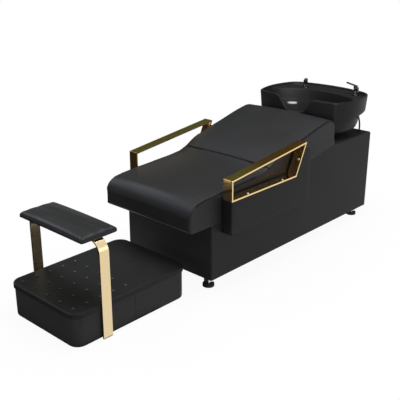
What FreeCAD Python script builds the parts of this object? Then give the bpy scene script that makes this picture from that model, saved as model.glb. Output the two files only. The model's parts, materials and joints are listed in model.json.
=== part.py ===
import FreeCAD, Part
import math
import os

# Shampoo chair with a tilting bowl and a free-standing foot unit. Millimetres, +Z up, floor at Z = 0.
# The sitter faces -Y, the bowl is at the +Y end, and X = 0 is the plane of symmetry.

Vec = FreeCAD.Vector
ACROSS = Vec(1, 0, 0)
ALONG = Vec(0, 1, 0)
UP = Vec(0, 0, 1)

# Allowances
overrun = 12.0              # how far a cutting shape runs past the face it opens
soft_gap = 0.3              # air between an upholstered piece and its neighbour
play = 0.05                 # radial play of a turning or sliding shaft
hole_play = 0.4             # radial room of a fixed stem, screw or pipe in its hole

# Chair carcass
chair_front_y = -347.5
chair_width = 606.0
chair_length = 1452.0
underside_z = 61.0
side_thickness = 24.0
board = 18.0
corner_radius = 8.0        # upright corners of the carcass
edge_radius = 10.0          # top edges of the sink end
pedestal_top_z = 539.0
cover_thickness = 34.0
rail_depth = 36.0
rear_screw_inset = 27.0
rail_shares = (0.58, 0.90)

# Seat cushion, from its front face to the crease
seat_overhang = 149.0
seat_length = 589.0
seat_bottom_z = 354.0
seat_front_height = 137.0
seat_rise = 57.0
seat_nose = 36.0
seat_lower_nose = 20.0
seat_station_shares = (0.0, 0.012, 0.035, 0.075, 0.14, 0.25, 0.40, 0.56, 0.74, 0.89, 1.0)
seat_rise_shares = (0.0, 0.0, 0.0, 0.08, 0.19, 0.30, 0.39, 0.475, 0.57, 0.68, 1.0)
cushion_crown = 8.0
cushion_draw = 3.0
cushion_corner = 9.0
plan_corner = 10.0
board_inset = 30.0

# Back cushion, from the crease to the sink end
back_front_low_z = 430.0
back_rear_low_z = 545.0
back_rise = 147.0
back_nose = 60.0
back_station_shares = (0.0, 0.05, 0.113, 0.195, 0.302, 0.425, 0.556, 0.687, 0.802, 0.892, 0.949, 0.982, 1.0)
back_rise_shares = (0.0, 0.10, 0.235, 0.352, 0.475, 0.595, 0.725, 0.86, 0.957, 1.0, 1.0, 1.0, 1.0)

# Arm frames and the upholstered blocks that carry them
arm_front = 77.0            # front of frame and block behind the chair's front face
arm_block_width = 61.0
arm_block_length = 651.0
arm_block_tail = 46.0       # how far the block runs on behind the frame's top corner
arm_block_bottom_z = 298.0
arm_block_top_z = 600.0
arm_block_radius = 2.5
frame_width = 55.0
frame_bar = 8.0
frame_bottom_z = 473.0
frame_lean = 82.0           # how far the rear post leans back towards its top
frame_front_height = 108.0
frame_rear_height = 175.0
frame_corner = 2.5
arm_screw_setback = 15.0    # from the frame's outer edge
arm_screw_shares = (0.261, 0.80)
arm_post_screw_share = 0.47
screw_radius = 3.0
screw_head_radius = 6.5
screw_head_height = 3.5
screw_length = 22.0

# Levelling feet
foot_inset_x = 60.0
foot_inset_front = 45.0
foot_inset_rear = 62.0
foot_disc_radius = 30.5
foot_disc_height = 16.0
foot_disc_edge = 3.0
foot_stem_radius = 6.0
foot_post_side = 33.0
foot_post_gap = 0.5         # below the plate
foot_stem_reach = 22.0      # thread above the underside
foot_plate_size = 70.0
foot_plate = 5.0

# Bowl: outer shape
bowl_gap = 4.0              # behind the sink end's front face
bowl_half = 316.0
bowl_depth = 438.0
bowl_overhang = 38.0        # behind the sink end, with the gap in front
bowl_lift = 27.0            # underside above the sink end's top
bowl_height = 206.0
rim_wall = 14.0
rim_round = 5.0
lip_shares = (1.0, 0.5, 0.2, 0.05, 0.0)     # depths below the rim, of its rounding
deck_drop = 21.0
deck_thickness = 14.0
bowl_floor = 16.0
# Right half of the outer outline from the front arc's end to the rear arc's end, each point as a share of
# the half width and of the depth
bowl_outline_shares = (
    (0.808, 0.051), (0.860, 0.062), (0.895, 0.088), (1.0, 0.470), (0.917, 0.785), (0.820, 0.880), (0.673, 0.934))
# Height, half width, front and rear of each level of the outside, as shares of the bowl's own sizes
bowl_level_shares = (
    (0.0, 0.80, 0.09, 0.78), (0.03, 0.85, 0.06, 0.80), (0.10, 0.895, 0.04, 0.81), (0.22, 0.93, 0.028, 0.815),
    (0.38, 0.955, 0.02, 0.82), (0.52, 0.975, 0.012, 0.985))

# Bowl: basin, neck rest and deck
basin_depth_share = 0.7443  # of the bowl's depth
basin_outline_shares = (
    (0.80, 0.060), (0.86, 0.085), (0.90, 0.125), (1.0, 0.406), (0.899, 0.666), (0.743, 0.803), (0.52, 0.9125))
# Height, half width, front and rear of each level of the basin, as shares of the basin's own sizes
basin_level_shares = (
    (0.0, 0.64, 0.17, 0.88), (0.04, 0.74, 0.125, 0.91), (0.15, 0.83, 0.085, 0.945), (0.35, 0.905, 0.05, 0.967),
    (0.64, 0.965, 0.02, 0.985), (1.0, 1.0, 0.0, 1.0))
neck_half = 150.0
neck_depth = 94.0
neck_shares = ((1.0, 0.0), (0.80, 0.10), (0.67, 0.33), (0.45, 0.80))
neck_reach = 75.0
pocket_wall = 12.0
pocket_floor = 84.0         # height of the hollow below the deck above the bowl's underside

# Drain
drain_share = 0.363         # of the bowl's depth behind its front, as the shares below are
drain_radius = 22.0
strainer_flange_radius = 34.0
strainer_flange = 3.0
strainer_wall = 3.0
strainer_hole_radius = 3.5
strainer_ring_radius = 11.0
strainer_hole_count = 6
seal_height = 4.0
seal_radius = 32.0
tail_nut_radius = 33.0
tail_nut_height = 22.0
tail_length = 40.0
waste_radius = 20.0
waste_wall = 3.0
waste_bend = 60.0
waste_drop = 140.0
waste_shift = 85.0
waste_slope_drop = 110.0
waste_outlet_above = 40.0
waste_outlet_below = 30.0
waste_thread_radius = 22.0
waste_flange_radius = 34.0
waste_flange = 5.0
waste_opening_radius = 58.0

# Tilt bracket
tilt_axis_share = 0.7397
tilt_axis_rise = 13.5       # above the sink end's top
pin_radius = 5.0
pin_end = 5.5               # pin past each ear
knuckle_radius = 9.0
knuckle_inner_x = 60.0
knuckle_length = 50.0
ear_gap = 0.5
ear_thickness = 6.0
ear_radius = 10.0
bracket_plate = 3.5
bracket_half = 140.0
bracket_front_share = 0.1233
bracket_rear_share = 0.7854
tilt_plate = 4.0
tilt_plate_half = 108.0
tilt_plate_front_share = 0.1461
tilt_plate_rear_share = 0.7671
tilt_plate_hole_radius = 42.0
stop_radius = 12.0
stop_x = 90.0
stop_share = 0.1918

# Mixer tap on the deck
mixer_x = 195.0
mixer_wall_gap = 5.94       # from its flange to the bowl's rear wall
mixer_flange_radius = 23.0
mixer_flange = 5.0
mixer_radius = 16.0
mixer_height = 28.0
mixer_shank_radius = 13.0
mixer_shank_length = 46.0
mixer_nut_radius = 20.0
mixer_nut_height = 8.0
cap_radius = 15.0
cap_height = 20.0
cap_edge = 4.0
cap_spigot_radius = 8.0
cap_spigot_length = 12.0
cap_lift = 0.3
lever_length = 75.0
lever_width = 17.0
lever_tip_width = 13.0
lever_tip_round = 4.3
lever_thickness = 6.0
lever_tongue = 8.0
lever_tongue_reach = 11.0
lever_tongue_play = 0.3
lever_pin_radius = 2.5
lever_angle = 11.0          # degrees above level
lever_rise = 12.0           # blade's underside above the pin
lever_root = 3.0            # blade's root behind the pin
lever_pin_drop = 8.0        # below the cap's top

# Hand spray and its socket
spray_x = -158.0
spray_wall_gap = 2.53       # from its nut to the basin's wall
socket_flange_radius = 18.0
socket_flange = 5.0
socket_radius = 16.5
socket_height = 22.0
socket_shank_length = 40.0
socket_shank_radius = 13.0
socket_nut_radius = 17.0
spray_stem_radius = 10.0
spray_head_radius = 12.0
spray_head_height = 38.0
spray_dome = 8.0
spray_rose_radius = 7.0
spray_rose_thickness = 2.5
spray_rose_drop = 16.0
spray_rose_seat = 1.5
spray_nose = 2.0            # nose ahead of the head's round side

# Supply hoses
hose_radius = 5.0
hose_bore = 3.5
hose_spread = 44.0
hose_pitch = 7.0
hose_lead = 4.0             # hoses ahead of the mixer
hose_lean_rise = 51.0       # first bend above the sink end's top
hose_low_rise = 131.0       # bends inside the sink end, above the inlets' tops
hose_high_rise = 301.0
hose_inner_bend = 150.0
hose_end_run = 22.0
hose_lower_bend = 150.0
hose_upper_bend = 45.0
grommet_radius = 12.0
grommet_lip = 3.0
grommet_neck = 8.0
inlet_x = 150.0
inlet_wall_setback = 14.0   # ahead of the rear panel
inlet_spread = 20.0
inlet_radius = 10.0
inlet_thread_radius = 11.5
inlet_hex_radius = 15.0
inlet_hex_height = 12.0
inlet_above = 40.0
inlet_below = 30.0

# Foot unit
foot_unit_gap = 109.0       # from the box to the chair's front face
lid_width = 494.0
lid_length = 690.0
lid_top_z = 171.0
lid_plate = 6.0
lid_edge_height = 24.0
lid_wall = 5.0
lid_corner = 58.0
lid_edge_radius = 7.0
skirt_inset = 5.5
skirt_taper = 0.5
skirt_wall = 4.0
skirt_bottom_z = 3.0
skirt_foot_radius = 8.0
skirt_foot_shares = (0.0, 0.13, 0.4, 1.0)
shell_joint = 1.6
shell_split_share = 0.506
foot_base_thickness = 14.0
foot_pad_radius = 18.0
foot_pad_height = 8.0
foot_pad_inset = 75.0
nub_radius = 9.0
nub_height = 5.0
nub_pitch_x = 93.0
nub_pitch_y = 75.0
nub_first_y = 42.0
nub_columns = 5
nub_rows = 5

# Strap over the foot box, and the pad on it
strap_width = 52.0
strap_bar = 8.0
strap_gap = 0.5             # from the lid's side
strap_top_z = 473.0
strap_bend = 66.0
strap_front = 146.5         # strap's front edge behind the box's front
strap_floor_gap = 1.0
boss_radius = 8.0
boss_low_z = 55.0
boss_high_z = 110.0
rest_half = 230.0
rest_front = 75.0
rest_length = 203.0
rest_edge = 27.0
rest_crown = 10.0
rest_draw = 2.0
rest_corner = 9.0
rest_nose = 16.0
rest_station_shares = (0.0, 0.025, 0.08, 0.2, 0.5, 0.8, 0.92, 0.975, 1.0)
rest_board = 9.0
rest_board_inset = 14.0
rest_screw_x_share = 0.6

# Places worked out from the sizes above
half_chair = chair_width / 2
inner_half = half_chair - side_thickness
chair_rear_y = chair_front_y + chair_length
pedestal_length = bowl_depth - bowl_overhang
pedestal_front_y = chair_rear_y - pedestal_length
cover_bottom_z = pedestal_top_z - cover_thickness
seat_front_y = chair_front_y - seat_overhang
seat_rear_y = seat_front_y + seat_length
board_top_z = underside_z + board
arm_front_y = chair_front_y + arm_front
frame_top_length = arm_block_length - arm_block_tail
frame_bottom_length = frame_top_length - frame_lean
frame_outer_x = half_chair + arm_block_width
bowl_front_y = pedestal_front_y + bowl_gap
bowl_bottom_z = pedestal_top_z + bowl_lift
bowl_rim_z = bowl_bottom_z + bowl_height
deck_z = bowl_rim_z - deck_drop
basin_floor_z = bowl_bottom_z + bowl_floor
basin_half = bowl_half - rim_wall
basin_front_y = bowl_front_y + rim_wall
basin_depth = bowl_depth * basin_depth_share
drain_y = bowl_front_y + bowl_depth * drain_share
tilt_axis_y = bowl_front_y + bowl_depth * tilt_axis_share
tilt_axis_z = pedestal_top_z + tilt_axis_rise
deck_depth = bowl_depth - 2 * rim_wall
mixer_y = basin_front_y + deck_depth * bowl_outline_shares[-1][1] - mixer_flange_radius - mixer_wall_gap
spray_y = basin_front_y + basin_depth * basin_outline_shares[-1][1] + pocket_wall + socket_nut_radius + spray_wall_gap
hose_y = mixer_y - hose_lead
inlet_y = chair_rear_y - board - inlet_wall_setback
foot_unit_front_y = chair_front_y - foot_unit_gap - lid_length
foot_unit_middle_y = foot_unit_front_y + lid_length / 2
skirt_half = lid_width / 2 - skirt_inset
strap_half = lid_width / 2 + strap_gap + strap_bar
skirt_top_z = lid_top_z - lid_plate


def arc(first, middle, last):
    return Part.Arc(first, middle, last).toShape()


def line(first, last):
    return Part.LineSegment(first, last).toShape()


def box(low, high):
    size = high - low
    return Part.makeBox(size.x, size.y, size.z, low)


def rod(radius, low, high):
    reach = high - low
    return Part.makeCylinder(radius, reach.Length, low, reach)


def ring(outer, inner, low, high):
    reach = (high - low).normalize() * overrun
    return rod(outer, low, high).cut(rod(inner, low - reach, high + reach))


def hexagon(radius, low, high):
    corners = [
        low + Vec(radius * math.cos(math.radians(60 * turn)), radius * math.sin(math.radians(60 * turn)), 0)
        for turn in range(7)]
    return Part.Face(Part.makePolygon(corners)).extrude(high - low)


def yz_prism(points, x_low, x_high):
    corners = [Vec(x_low, y, z) for y, z in points]
    return Part.Face(Part.makePolygon(corners + corners[:1])).extrude(Vec(x_high - x_low, 0, 0))


def mirrored(shape):
    return shape.mirror(Vec(0, 0, 0), ACROSS)


def edges_where(shape, test):
    return [edge for edge in shape.Edges if test(edge.BoundBox)]


def close(first, second):
    return abs(first - second) < soft_gap / 10


def round_nose(distance, radius):
    """How far a rounded end falls short of its full size at a distance from its face."""
    if distance >= radius:
        return 0.0
    return radius - math.sqrt(radius ** 2 - (radius - distance) ** 2)


def soft_section(y, half, low, high, crown, draw, corner):
    """Cross-section of a cushion: flat below, drawn-in sides, rounded top corners and a crowned top."""
    turn = corner * (1 - math.sqrt(0.5))
    middle = (low + high - corner) / 2
    return Part.Wire([
        line(Vec(-half, y, low), Vec(half, y, low)),
        arc(Vec(half, y, low), Vec(half - draw, y, middle), Vec(half, y, high - corner)),
        arc(Vec(half, y, high - corner), Vec(half - turn, y, high - turn), Vec(half - corner, y, high)),
        arc(Vec(half - corner, y, high), Vec(0, y, high + crown), Vec(corner - half, y, high)),
        arc(Vec(corner - half, y, high), Vec(turn - half, y, high - turn), Vec(-half, y, high - corner)),
        arc(Vec(-half, y, high - corner), Vec(draw - half, y, middle), Vec(-half, y, low))])


def tube_path(points, bends):
    """Straight runs through the points, joined by tangent arcs of the given radii."""
    edges = []
    start = points[0]
    for before, corner, after, bend in zip(points, points[1:], points[2:], bends):
        inward = (before - corner).normalize()
        outward = (after - corner).normalize()
        half_angle = inward.getAngle(outward) / 2
        reach = bend / math.tan(half_angle)
        bisector = (inward + outward).normalize()
        middle = corner + bisector * (bend / math.sin(half_angle) - bend)
        edges.append(line(start, corner + inward * reach))
        edges.append(arc(corner + inward * reach, middle, corner + outward * reach))
        start = corner + outward * reach
    edges.append(line(start, points[-1]))
    return Part.Wire(edges)


def swept(path, radius, start, direction):
    section = Part.Wire(Part.makeCircle(radius, start, direction))
    return path.makePipeShell([section], True, False)


# Chair carcass

def back_low_z(y):
    share = (y - seat_rear_y) / (pedestal_front_y - seat_rear_y)
    return back_front_low_z + share * (back_rear_low_z - back_front_low_z)


def side_panel():
    outline = (
        (chair_front_y, underside_z), (chair_rear_y, underside_z), (chair_rear_y, cover_bottom_z),
        (pedestal_front_y, cover_bottom_z), (pedestal_front_y, back_rear_low_z),
        (seat_rear_y, back_front_low_z), (seat_rear_y, seat_bottom_z), (chair_front_y, seat_bottom_z))
    panel = yz_prism(outline, inner_half, half_chair)
    corners = edges_where(panel, lambda b: close(b.XMin, half_chair) and close(b.YMin, b.YMax) and (
        close(b.YMin, chair_front_y) or close(b.YMin, chair_rear_y)))
    return panel.makeFillet(corner_radius, corners)


def front_panel():
    return box(
        Vec(-inner_half, chair_front_y, underside_z), Vec(inner_half, chair_front_y + board, seat_bottom_z))


def rear_screw_places():
    return [
        Vec(side * (inner_half - rear_screw_inset), chair_rear_y, z)
        for side in (-1, 1) for z in (underside_z + rear_screw_inset, cover_bottom_z - rear_screw_inset)]


def rear_panel():
    panel = box(
        Vec(-inner_half, chair_rear_y - board, underside_z), Vec(inner_half, chair_rear_y, cover_bottom_z))
    for place in rear_screw_places():
        panel = panel.cut(rod(screw_radius + hole_play, place - ALONG * (board + overrun), place + ALONG * overrun))
    return panel


def rear_screw(place):
    shank = rod(screw_radius, place - ALONG * board, place)
    head = Part.makeCone(
        screw_head_radius, screw_radius, screw_head_height, place, ALONG)
    return shank.fuse(head).removeSplitter()


def foot_places():
    x = half_chair - foot_inset_x
    return {
        "front_left": Vec(-x, chair_front_y + foot_inset_front, 0),
        "front_right": Vec(x, chair_front_y + foot_inset_front, 0),
        "rear_left": Vec(-x, chair_rear_y - foot_inset_rear, 0),
        "rear_right": Vec(x, chair_rear_y - foot_inset_rear, 0)}


def outlet_place():
    return Vec(0, drain_y + waste_shift, board_top_z)


def hose_sides():
    return {"hot": 1, "cold": -1}


def hose_foot(side):
    return Vec(inlet_x + side * inlet_spread, inlet_y, board_top_z)


def bottom_board():
    panel = box(
        Vec(-inner_half, chair_front_y + board, underside_z), Vec(inner_half, chair_rear_y - board, board_top_z))
    through = UP * (board + overrun)
    for place in foot_places().values():
        top = place + UP * (underside_z + foot_stem_reach)
        panel = panel.cut(rod(foot_stem_radius + hole_play, place, top + UP * overrun))
    panel = panel.cut(rod(waste_thread_radius + hole_play, outlet_place() - through, outlet_place() + through))
    for side in hose_sides().values():
        panel = panel.cut(rod(inlet_thread_radius + hole_play, hose_foot(side) - through, hose_foot(side) + through))
    return panel


def seat_board():
    return box(
        Vec(board_inset - half_chair, seat_front_y + board_inset, seat_bottom_z),
        Vec(half_chair - board_inset, seat_rear_y - board_inset, seat_bottom_z + board))


def cross_rails():
    rails = []
    for share in rail_shares:
        y = seat_front_y + share * seat_length
        rails.append(box(
            Vec(-inner_half, y - board / 2, seat_bottom_z - rail_depth),
            Vec(inner_half, y + board / 2, seat_bottom_z)))
    return Part.makeCompound(rails)


def back_board():
    outline = (
        (seat_rear_y, back_front_low_z), (pedestal_front_y, back_rear_low_z),
        (pedestal_front_y, back_rear_low_z - board), (seat_rear_y, back_front_low_z - board))
    return yz_prism(outline, -inner_half, inner_half)


def bulkhead():
    front_y = pedestal_front_y - board
    outline = (
        (front_y, board_top_z), (pedestal_front_y, board_top_z),
        (pedestal_front_y, back_rear_low_z - board), (front_y, back_low_z(front_y) - board))
    return yz_prism(outline, -inner_half, inner_half)


def hose_hole(side):
    return Vec(mixer_x + side * hose_spread, hose_y, pedestal_top_z)


def pedestal_cover():
    cover = box(
        Vec(-half_chair, pedestal_front_y, cover_bottom_z), Vec(half_chair, chair_rear_y, pedestal_top_z))
    rear_corners = edges_where(cover, lambda b: close(b.YMin, chair_rear_y) and close(b.XMin, b.XMax))
    cover = cover.makeFillet(corner_radius, rear_corners)
    top_edges = edges_where(cover, lambda b: close(b.ZMin, pedestal_top_z) and b.YMax > pedestal_front_y + overrun)
    cover = cover.makeFillet(edge_radius, top_edges)
    drain = Vec(0, drain_y, pedestal_top_z)
    through = UP * (cover_thickness + overrun)
    cover = cover.cut(rod(waste_opening_radius, drain - through, drain + through))
    for side in hose_sides().values():
        hole = hose_hole(side)
        cover = cover.cut(rod(grommet_neck, hole - through, hole + through))
    return cover


# Cushions

def seat_cushion():
    low = seat_bottom_z + soft_gap
    sections = []
    for share, rise_share in zip(seat_station_shares, seat_rise_shares):
        reach = share * seat_length
        high = seat_bottom_z + seat_front_height + rise_share * seat_rise
        sections.append(soft_section(
            seat_front_y + share * (seat_length - soft_gap),
            half_chair - round_nose(reach, plan_corner),
            low + round_nose(reach, seat_lower_nose),
            high - round_nose(reach, seat_nose),
            cushion_crown, cushion_draw, cushion_corner))
    pad = Part.makeLoft(sections, True, False)
    room = Vec(soft_gap, soft_gap, soft_gap)
    recess = box(
        Vec(board_inset - half_chair, seat_front_y + board_inset, seat_bottom_z - overrun) - room,
        Vec(half_chair - board_inset, seat_rear_y - board_inset, seat_bottom_z + board) + room)
    return pad.cut(recess)


def back_cushion():
    front_y = seat_rear_y + soft_gap
    length = pedestal_front_y - soft_gap - front_y
    front_high = seat_bottom_z + seat_front_height + seat_rise
    sections = []
    for share, rise_share in zip(back_station_shares, back_rise_shares):
        y = front_y + share * length
        reach = (1 - share) * length
        sections.append(soft_section(
            y, half_chair - round_nose(reach, plan_corner), back_low_z(y) + soft_gap,
            front_high + rise_share * back_rise - round_nose(reach, back_nose),
            cushion_crown, cushion_draw, cushion_corner))
    return Part.makeLoft(sections, True, False)


# Arm frames

def frame_corners():
    front = arm_front_y
    return (
        Vec(0, front, frame_bottom_z), Vec(0, front, frame_bottom_z + frame_front_height),
        Vec(0, front + frame_top_length, frame_bottom_z + frame_rear_height),
        Vec(0, front + frame_bottom_length, frame_bottom_z))


def post_direction():
    corners = frame_corners()
    return (corners[2] - corners[3]).normalize()


def arm_screw_seats():
    """Seat of each screw on the frame's outer face, and the way its head points."""
    x = frame_outer_x - arm_screw_setback
    seats = []
    for share in arm_screw_shares:
        seats.append((Vec(x, arm_front_y + share * frame_bottom_length, frame_bottom_z), UP))
    corners = frame_corners()
    post = corners[3] + (corners[2] - corners[3]) * arm_post_screw_share + ACROSS * x
    seats.append((post, ACROSS.cross(post_direction())))
    return seats


def arm_frame():
    corners = frame_corners()
    loop = Part.makePolygon(list(corners) + [corners[0]])
    outer = Part.Face(loop)
    inner = outer.makeOffset2D(-frame_bar, 2)
    bar = outer.cut(inner).extrude(ACROSS * frame_width)
    bends = edges_where(bar, lambda b: close(b.XLength, frame_width) and any(
        close(b.YMin, corner.y) and close(b.ZMin, corner.z) for corner in corners))
    bar = bar.makeFillet(frame_corner, bends)
    bar.translate(ACROSS * (frame_outer_x - frame_width))
    for seat, way in arm_screw_seats():
        bar = bar.cut(rod(screw_radius + hole_play, seat - way * overrun, seat + way * overrun))
    return bar


def arm_block():
    rear_y = arm_front_y + arm_block_length
    corners = frame_corners()
    lean = (arm_block_top_z - frame_bottom_z) / frame_rear_height
    shoulder = corners[3] + (corners[2] - corners[3]) * lean
    outline = (
        (arm_front_y, arm_block_bottom_z), (rear_y, arm_block_bottom_z), (rear_y, arm_block_top_z),
        (shoulder.y, shoulder.z), (corners[3].y, corners[3].z), (arm_front_y, frame_bottom_z))
    block = yz_prism(outline, half_chair + soft_gap, frame_outer_x)
    rounded = edges_where(block, lambda b: close(b.XMin, frame_outer_x) and (
        close(b.ZMax, arm_block_bottom_z) or close(b.YMin, rear_y)))
    block = block.makeFillet(arm_block_radius, rounded)
    for seat, way in arm_screw_seats():
        block = block.cut(rod(screw_radius + hole_play, seat - way * screw_length, seat + way * overrun))
    return block


def arm_screws():
    screws = []
    for seat, way in arm_screw_seats():
        face = seat + way * frame_bar
        shank = rod(screw_radius, face - way * (screw_length - frame_bar), face)
        head = Part.makeCone(screw_head_radius, screw_radius, screw_head_height, face, way)
        screws.append(shank.fuse(head).removeSplitter())
    return Part.makeCompound(screws)


# Levelling feet

def foot_disc(place):
    disc = rod(foot_disc_radius, place, place + UP * foot_disc_height)
    top = edges_where(disc, lambda b: close(b.ZMin, foot_disc_height))
    disc = disc.makeFillet(foot_disc_edge, top)
    return disc.cut(rod(foot_stem_radius, place + UP * (foot_disc_height / 2), place + UP * underside_z))


def foot_stem(place):
    stem = rod(
        foot_stem_radius, place + UP * (foot_disc_height / 2), place + UP * (underside_z + foot_stem_reach))
    half = Vec(foot_post_side / 2, foot_post_side / 2, 0)
    top = place + UP * (underside_z - foot_plate - foot_post_gap)
    return stem.fuse(box(place - half + UP * foot_disc_height, top + half)).removeSplitter()


def foot_plates():
    plates = []
    for place in foot_places().values():
        half = Vec(foot_plate_size / 2, foot_plate_size / 2, 0)
        top = place + UP * underside_z
        plate = box(top - half - UP * foot_plate, top + half)
        plates.append(plate.cut(rod(foot_stem_radius + play, place, top + UP * overrun)))
    return Part.makeCompound(plates)


# Bowl

def bowl_outline(z, half, front_y, depth, shares):
    points = [Vec(half * x_share, front_y + depth * y_share, z) for x_share, y_share in shares]
    facing = [Vec(-point.x, point.y, point.z) for point in points]
    front_end, turn, side_start, side, side_end, rear_turn, rear_end = points
    far_front, far_turn, far_start, far_side, far_end, far_rear_turn, far_rear = facing
    return Part.Wire([
        arc(far_front, Vec(0, front_y, z), front_end), arc(front_end, turn, side_start),
        arc(side_start, side, side_end), arc(side_end, rear_turn, rear_end),
        arc(rear_end, Vec(0, front_y + depth, z), far_rear), arc(far_rear, far_rear_turn, far_end),
        arc(far_end, far_side, far_start), arc(far_start, far_turn, far_front)])


def bowl_body():
    sections = []
    for height_share, half_share, front_share, rear_share in bowl_level_shares:
        sections.append(bowl_outline(
            bowl_bottom_z + height_share * bowl_height, half_share * bowl_half,
            bowl_front_y + front_share * bowl_depth, (rear_share - front_share) * bowl_depth, bowl_outline_shares))
    for share in lip_shares:
        draw = round_nose(share * rim_round, rim_round)
        sections.append(bowl_outline(
            bowl_rim_z - share * rim_round, bowl_half - draw, bowl_front_y + draw, bowl_depth - 2 * draw,
            bowl_outline_shares))
    return Part.makeLoft(sections, True, True)


def basin():
    sections = []
    height = deck_z - basin_floor_z
    for height_share, half_share, front_share, rear_share in basin_level_shares:
        sections.append(bowl_outline(
            basin_floor_z + height_share * height, half_share * basin_half,
            basin_front_y + front_share * basin_depth, (rear_share - front_share) * basin_depth,
            basin_outline_shares))
    sections.append(bowl_outline(
        bowl_rim_z + overrun, basin_half, basin_front_y, basin_depth, basin_outline_shares))
    return Part.makeLoft(sections, True, True)


def deck_space():
    depth = bowl_depth - 2 * rim_wall
    sections = [bowl_outline(deck_z, basin_half, basin_front_y, depth, bowl_outline_shares)]
    for share in lip_shares:
        draw = round_nose(share * rim_round, rim_round)
        sections.append(bowl_outline(
            bowl_rim_z - share * rim_round, basin_half + draw, basin_front_y - draw, depth + 2 * draw,
            bowl_outline_shares))
    top = Part.Face(sections[-1]).extrude(UP * overrun)
    return Part.makeLoft(sections, True, True).fuse(top)


def neck_rest():
    points = [Vec(neck_half * x, bowl_front_y - overrun, bowl_rim_z - neck_depth * drop) for x, drop in neck_shares]
    shoulder, bulge, flank_top, flank_foot = points
    facing = [Vec(-point.x, point.y, point.z) for point in points]
    far_shoulder, far_bulge, far_flank_top, far_flank_foot = facing
    bottom = Vec(0, bowl_front_y - overrun, bowl_rim_z - neck_depth)
    outline = Part.Wire([
        line(far_shoulder + UP * overrun, shoulder + UP * overrun), line(shoulder + UP * overrun, shoulder),
        arc(shoulder, bulge, flank_top), line(flank_top, flank_foot), arc(flank_foot, bottom, far_flank_foot),
        line(far_flank_foot, far_flank_top), arc(far_flank_top, far_bulge, far_shoulder),
        line(far_shoulder, far_shoulder + UP * overrun)])
    return Part.Face(outline).extrude(ALONG * (neck_reach + overrun))


def deck_pocket():
    """Hollow below the deck, open below, where the shanks of the mixer and the spray socket end."""
    low_z = bowl_bottom_z + pocket_floor
    height = deck_z - deck_thickness - low_z
    inside = bowl_outline(low_z, basin_half, basin_front_y, bowl_depth - 2 * rim_wall, bowl_outline_shares)
    kept = bowl_outline(
        low_z - overrun, basin_half + pocket_wall, basin_front_y - pocket_wall, basin_depth + 2 * pocket_wall,
        basin_outline_shares)
    return Part.Face(inside).extrude(UP * height).cut(Part.Face(kept).extrude(UP * (height + 2 * overrun)))


def mixer_place():
    return Vec(mixer_x, mixer_y, deck_z)


def spray_place():
    return Vec(spray_x, spray_y, deck_z)


def drain_place():
    return Vec(0, drain_y, bowl_bottom_z)


def bowl():
    body = bowl_body().cut(basin()).cut(deck_space()).cut(neck_rest()).cut(deck_pocket())
    body = body.cut(rod(drain_radius, drain_place() - UP * overrun, drain_place() + UP * (bowl_floor + overrun)))
    through = UP * (deck_thickness + overrun)
    body = body.cut(rod(mixer_shank_radius + hole_play, mixer_place() - through, mixer_place() + through))
    return body.cut(rod(socket_shank_radius + hole_play, spray_place() - through, spray_place() + through))


def drain_strainer():
    top = drain_place() + UP * (bowl_floor + strainer_flange)
    tube_radius = drain_radius - hole_play
    tube_end = drain_place() - UP * (seal_height + tail_nut_height / 2)
    plug = rod(strainer_flange_radius, top - UP * strainer_flange, top).fuse(rod(tube_radius, tube_end, top))
    plug = plug.cut(rod(tube_radius - strainer_wall, tube_end - UP * overrun, top - UP * strainer_flange))
    for turn in range(strainer_hole_count):
        angle = 2 * math.pi * turn / strainer_hole_count
        centre = top + Vec(math.cos(angle), math.sin(angle), 0) * strainer_ring_radius
        plug = plug.cut(rod(strainer_hole_radius, centre - UP * overrun, centre + UP * overrun))
    return plug


def drain_seal():
    return ring(seal_radius, drain_radius, drain_place() - UP * seal_height, drain_place())


def tail_end():
    return drain_place() - UP * (seal_height + tail_nut_height + tail_length)


def waste_tail():
    top = drain_place() - UP * seal_height
    shoulder = top - UP * tail_nut_height
    nut = hexagon(tail_nut_radius, shoulder, top).fuse(rod(waste_radius, tail_end(), top))
    nut = nut.cut(rod(drain_radius, shoulder + UP * (tail_nut_height / 2 - strainer_wall), top + UP * overrun))
    return nut.cut(rod(waste_radius - waste_wall, tail_end() - UP * overrun, top))


def waste_outlet():
    top = outlet_place() + UP * waste_outlet_above
    bottom = outlet_place() - UP * (board + waste_outlet_below)
    flange = rod(waste_flange_radius, outlet_place(), outlet_place() + UP * waste_flange)
    thread = rod(waste_thread_radius, outlet_place() - UP * board, outlet_place())
    pipe = rod(waste_radius, bottom, top).fuse(flange).fuse(thread)
    return pipe.cut(rod(waste_radius - waste_wall, bottom - UP * overrun, top + UP * overrun))


def waste_hose():
    start = tail_end()
    upper = start - UP * waste_drop
    lower = upper + Vec(0, waste_shift, -waste_slope_drop)
    path = tube_path(
        [start, upper, lower, outlet_place() + UP * waste_outlet_above], [waste_bend, waste_bend])
    outer = swept(path, waste_radius, start, UP)
    return outer.cut(swept(path, waste_radius - waste_wall, start, UP))


# Tilt bracket

def axis_point(x):
    return Vec(x, tilt_axis_y, tilt_axis_z)


def ear_inner_x():
    return knuckle_inner_x + knuckle_length + ear_gap


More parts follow.
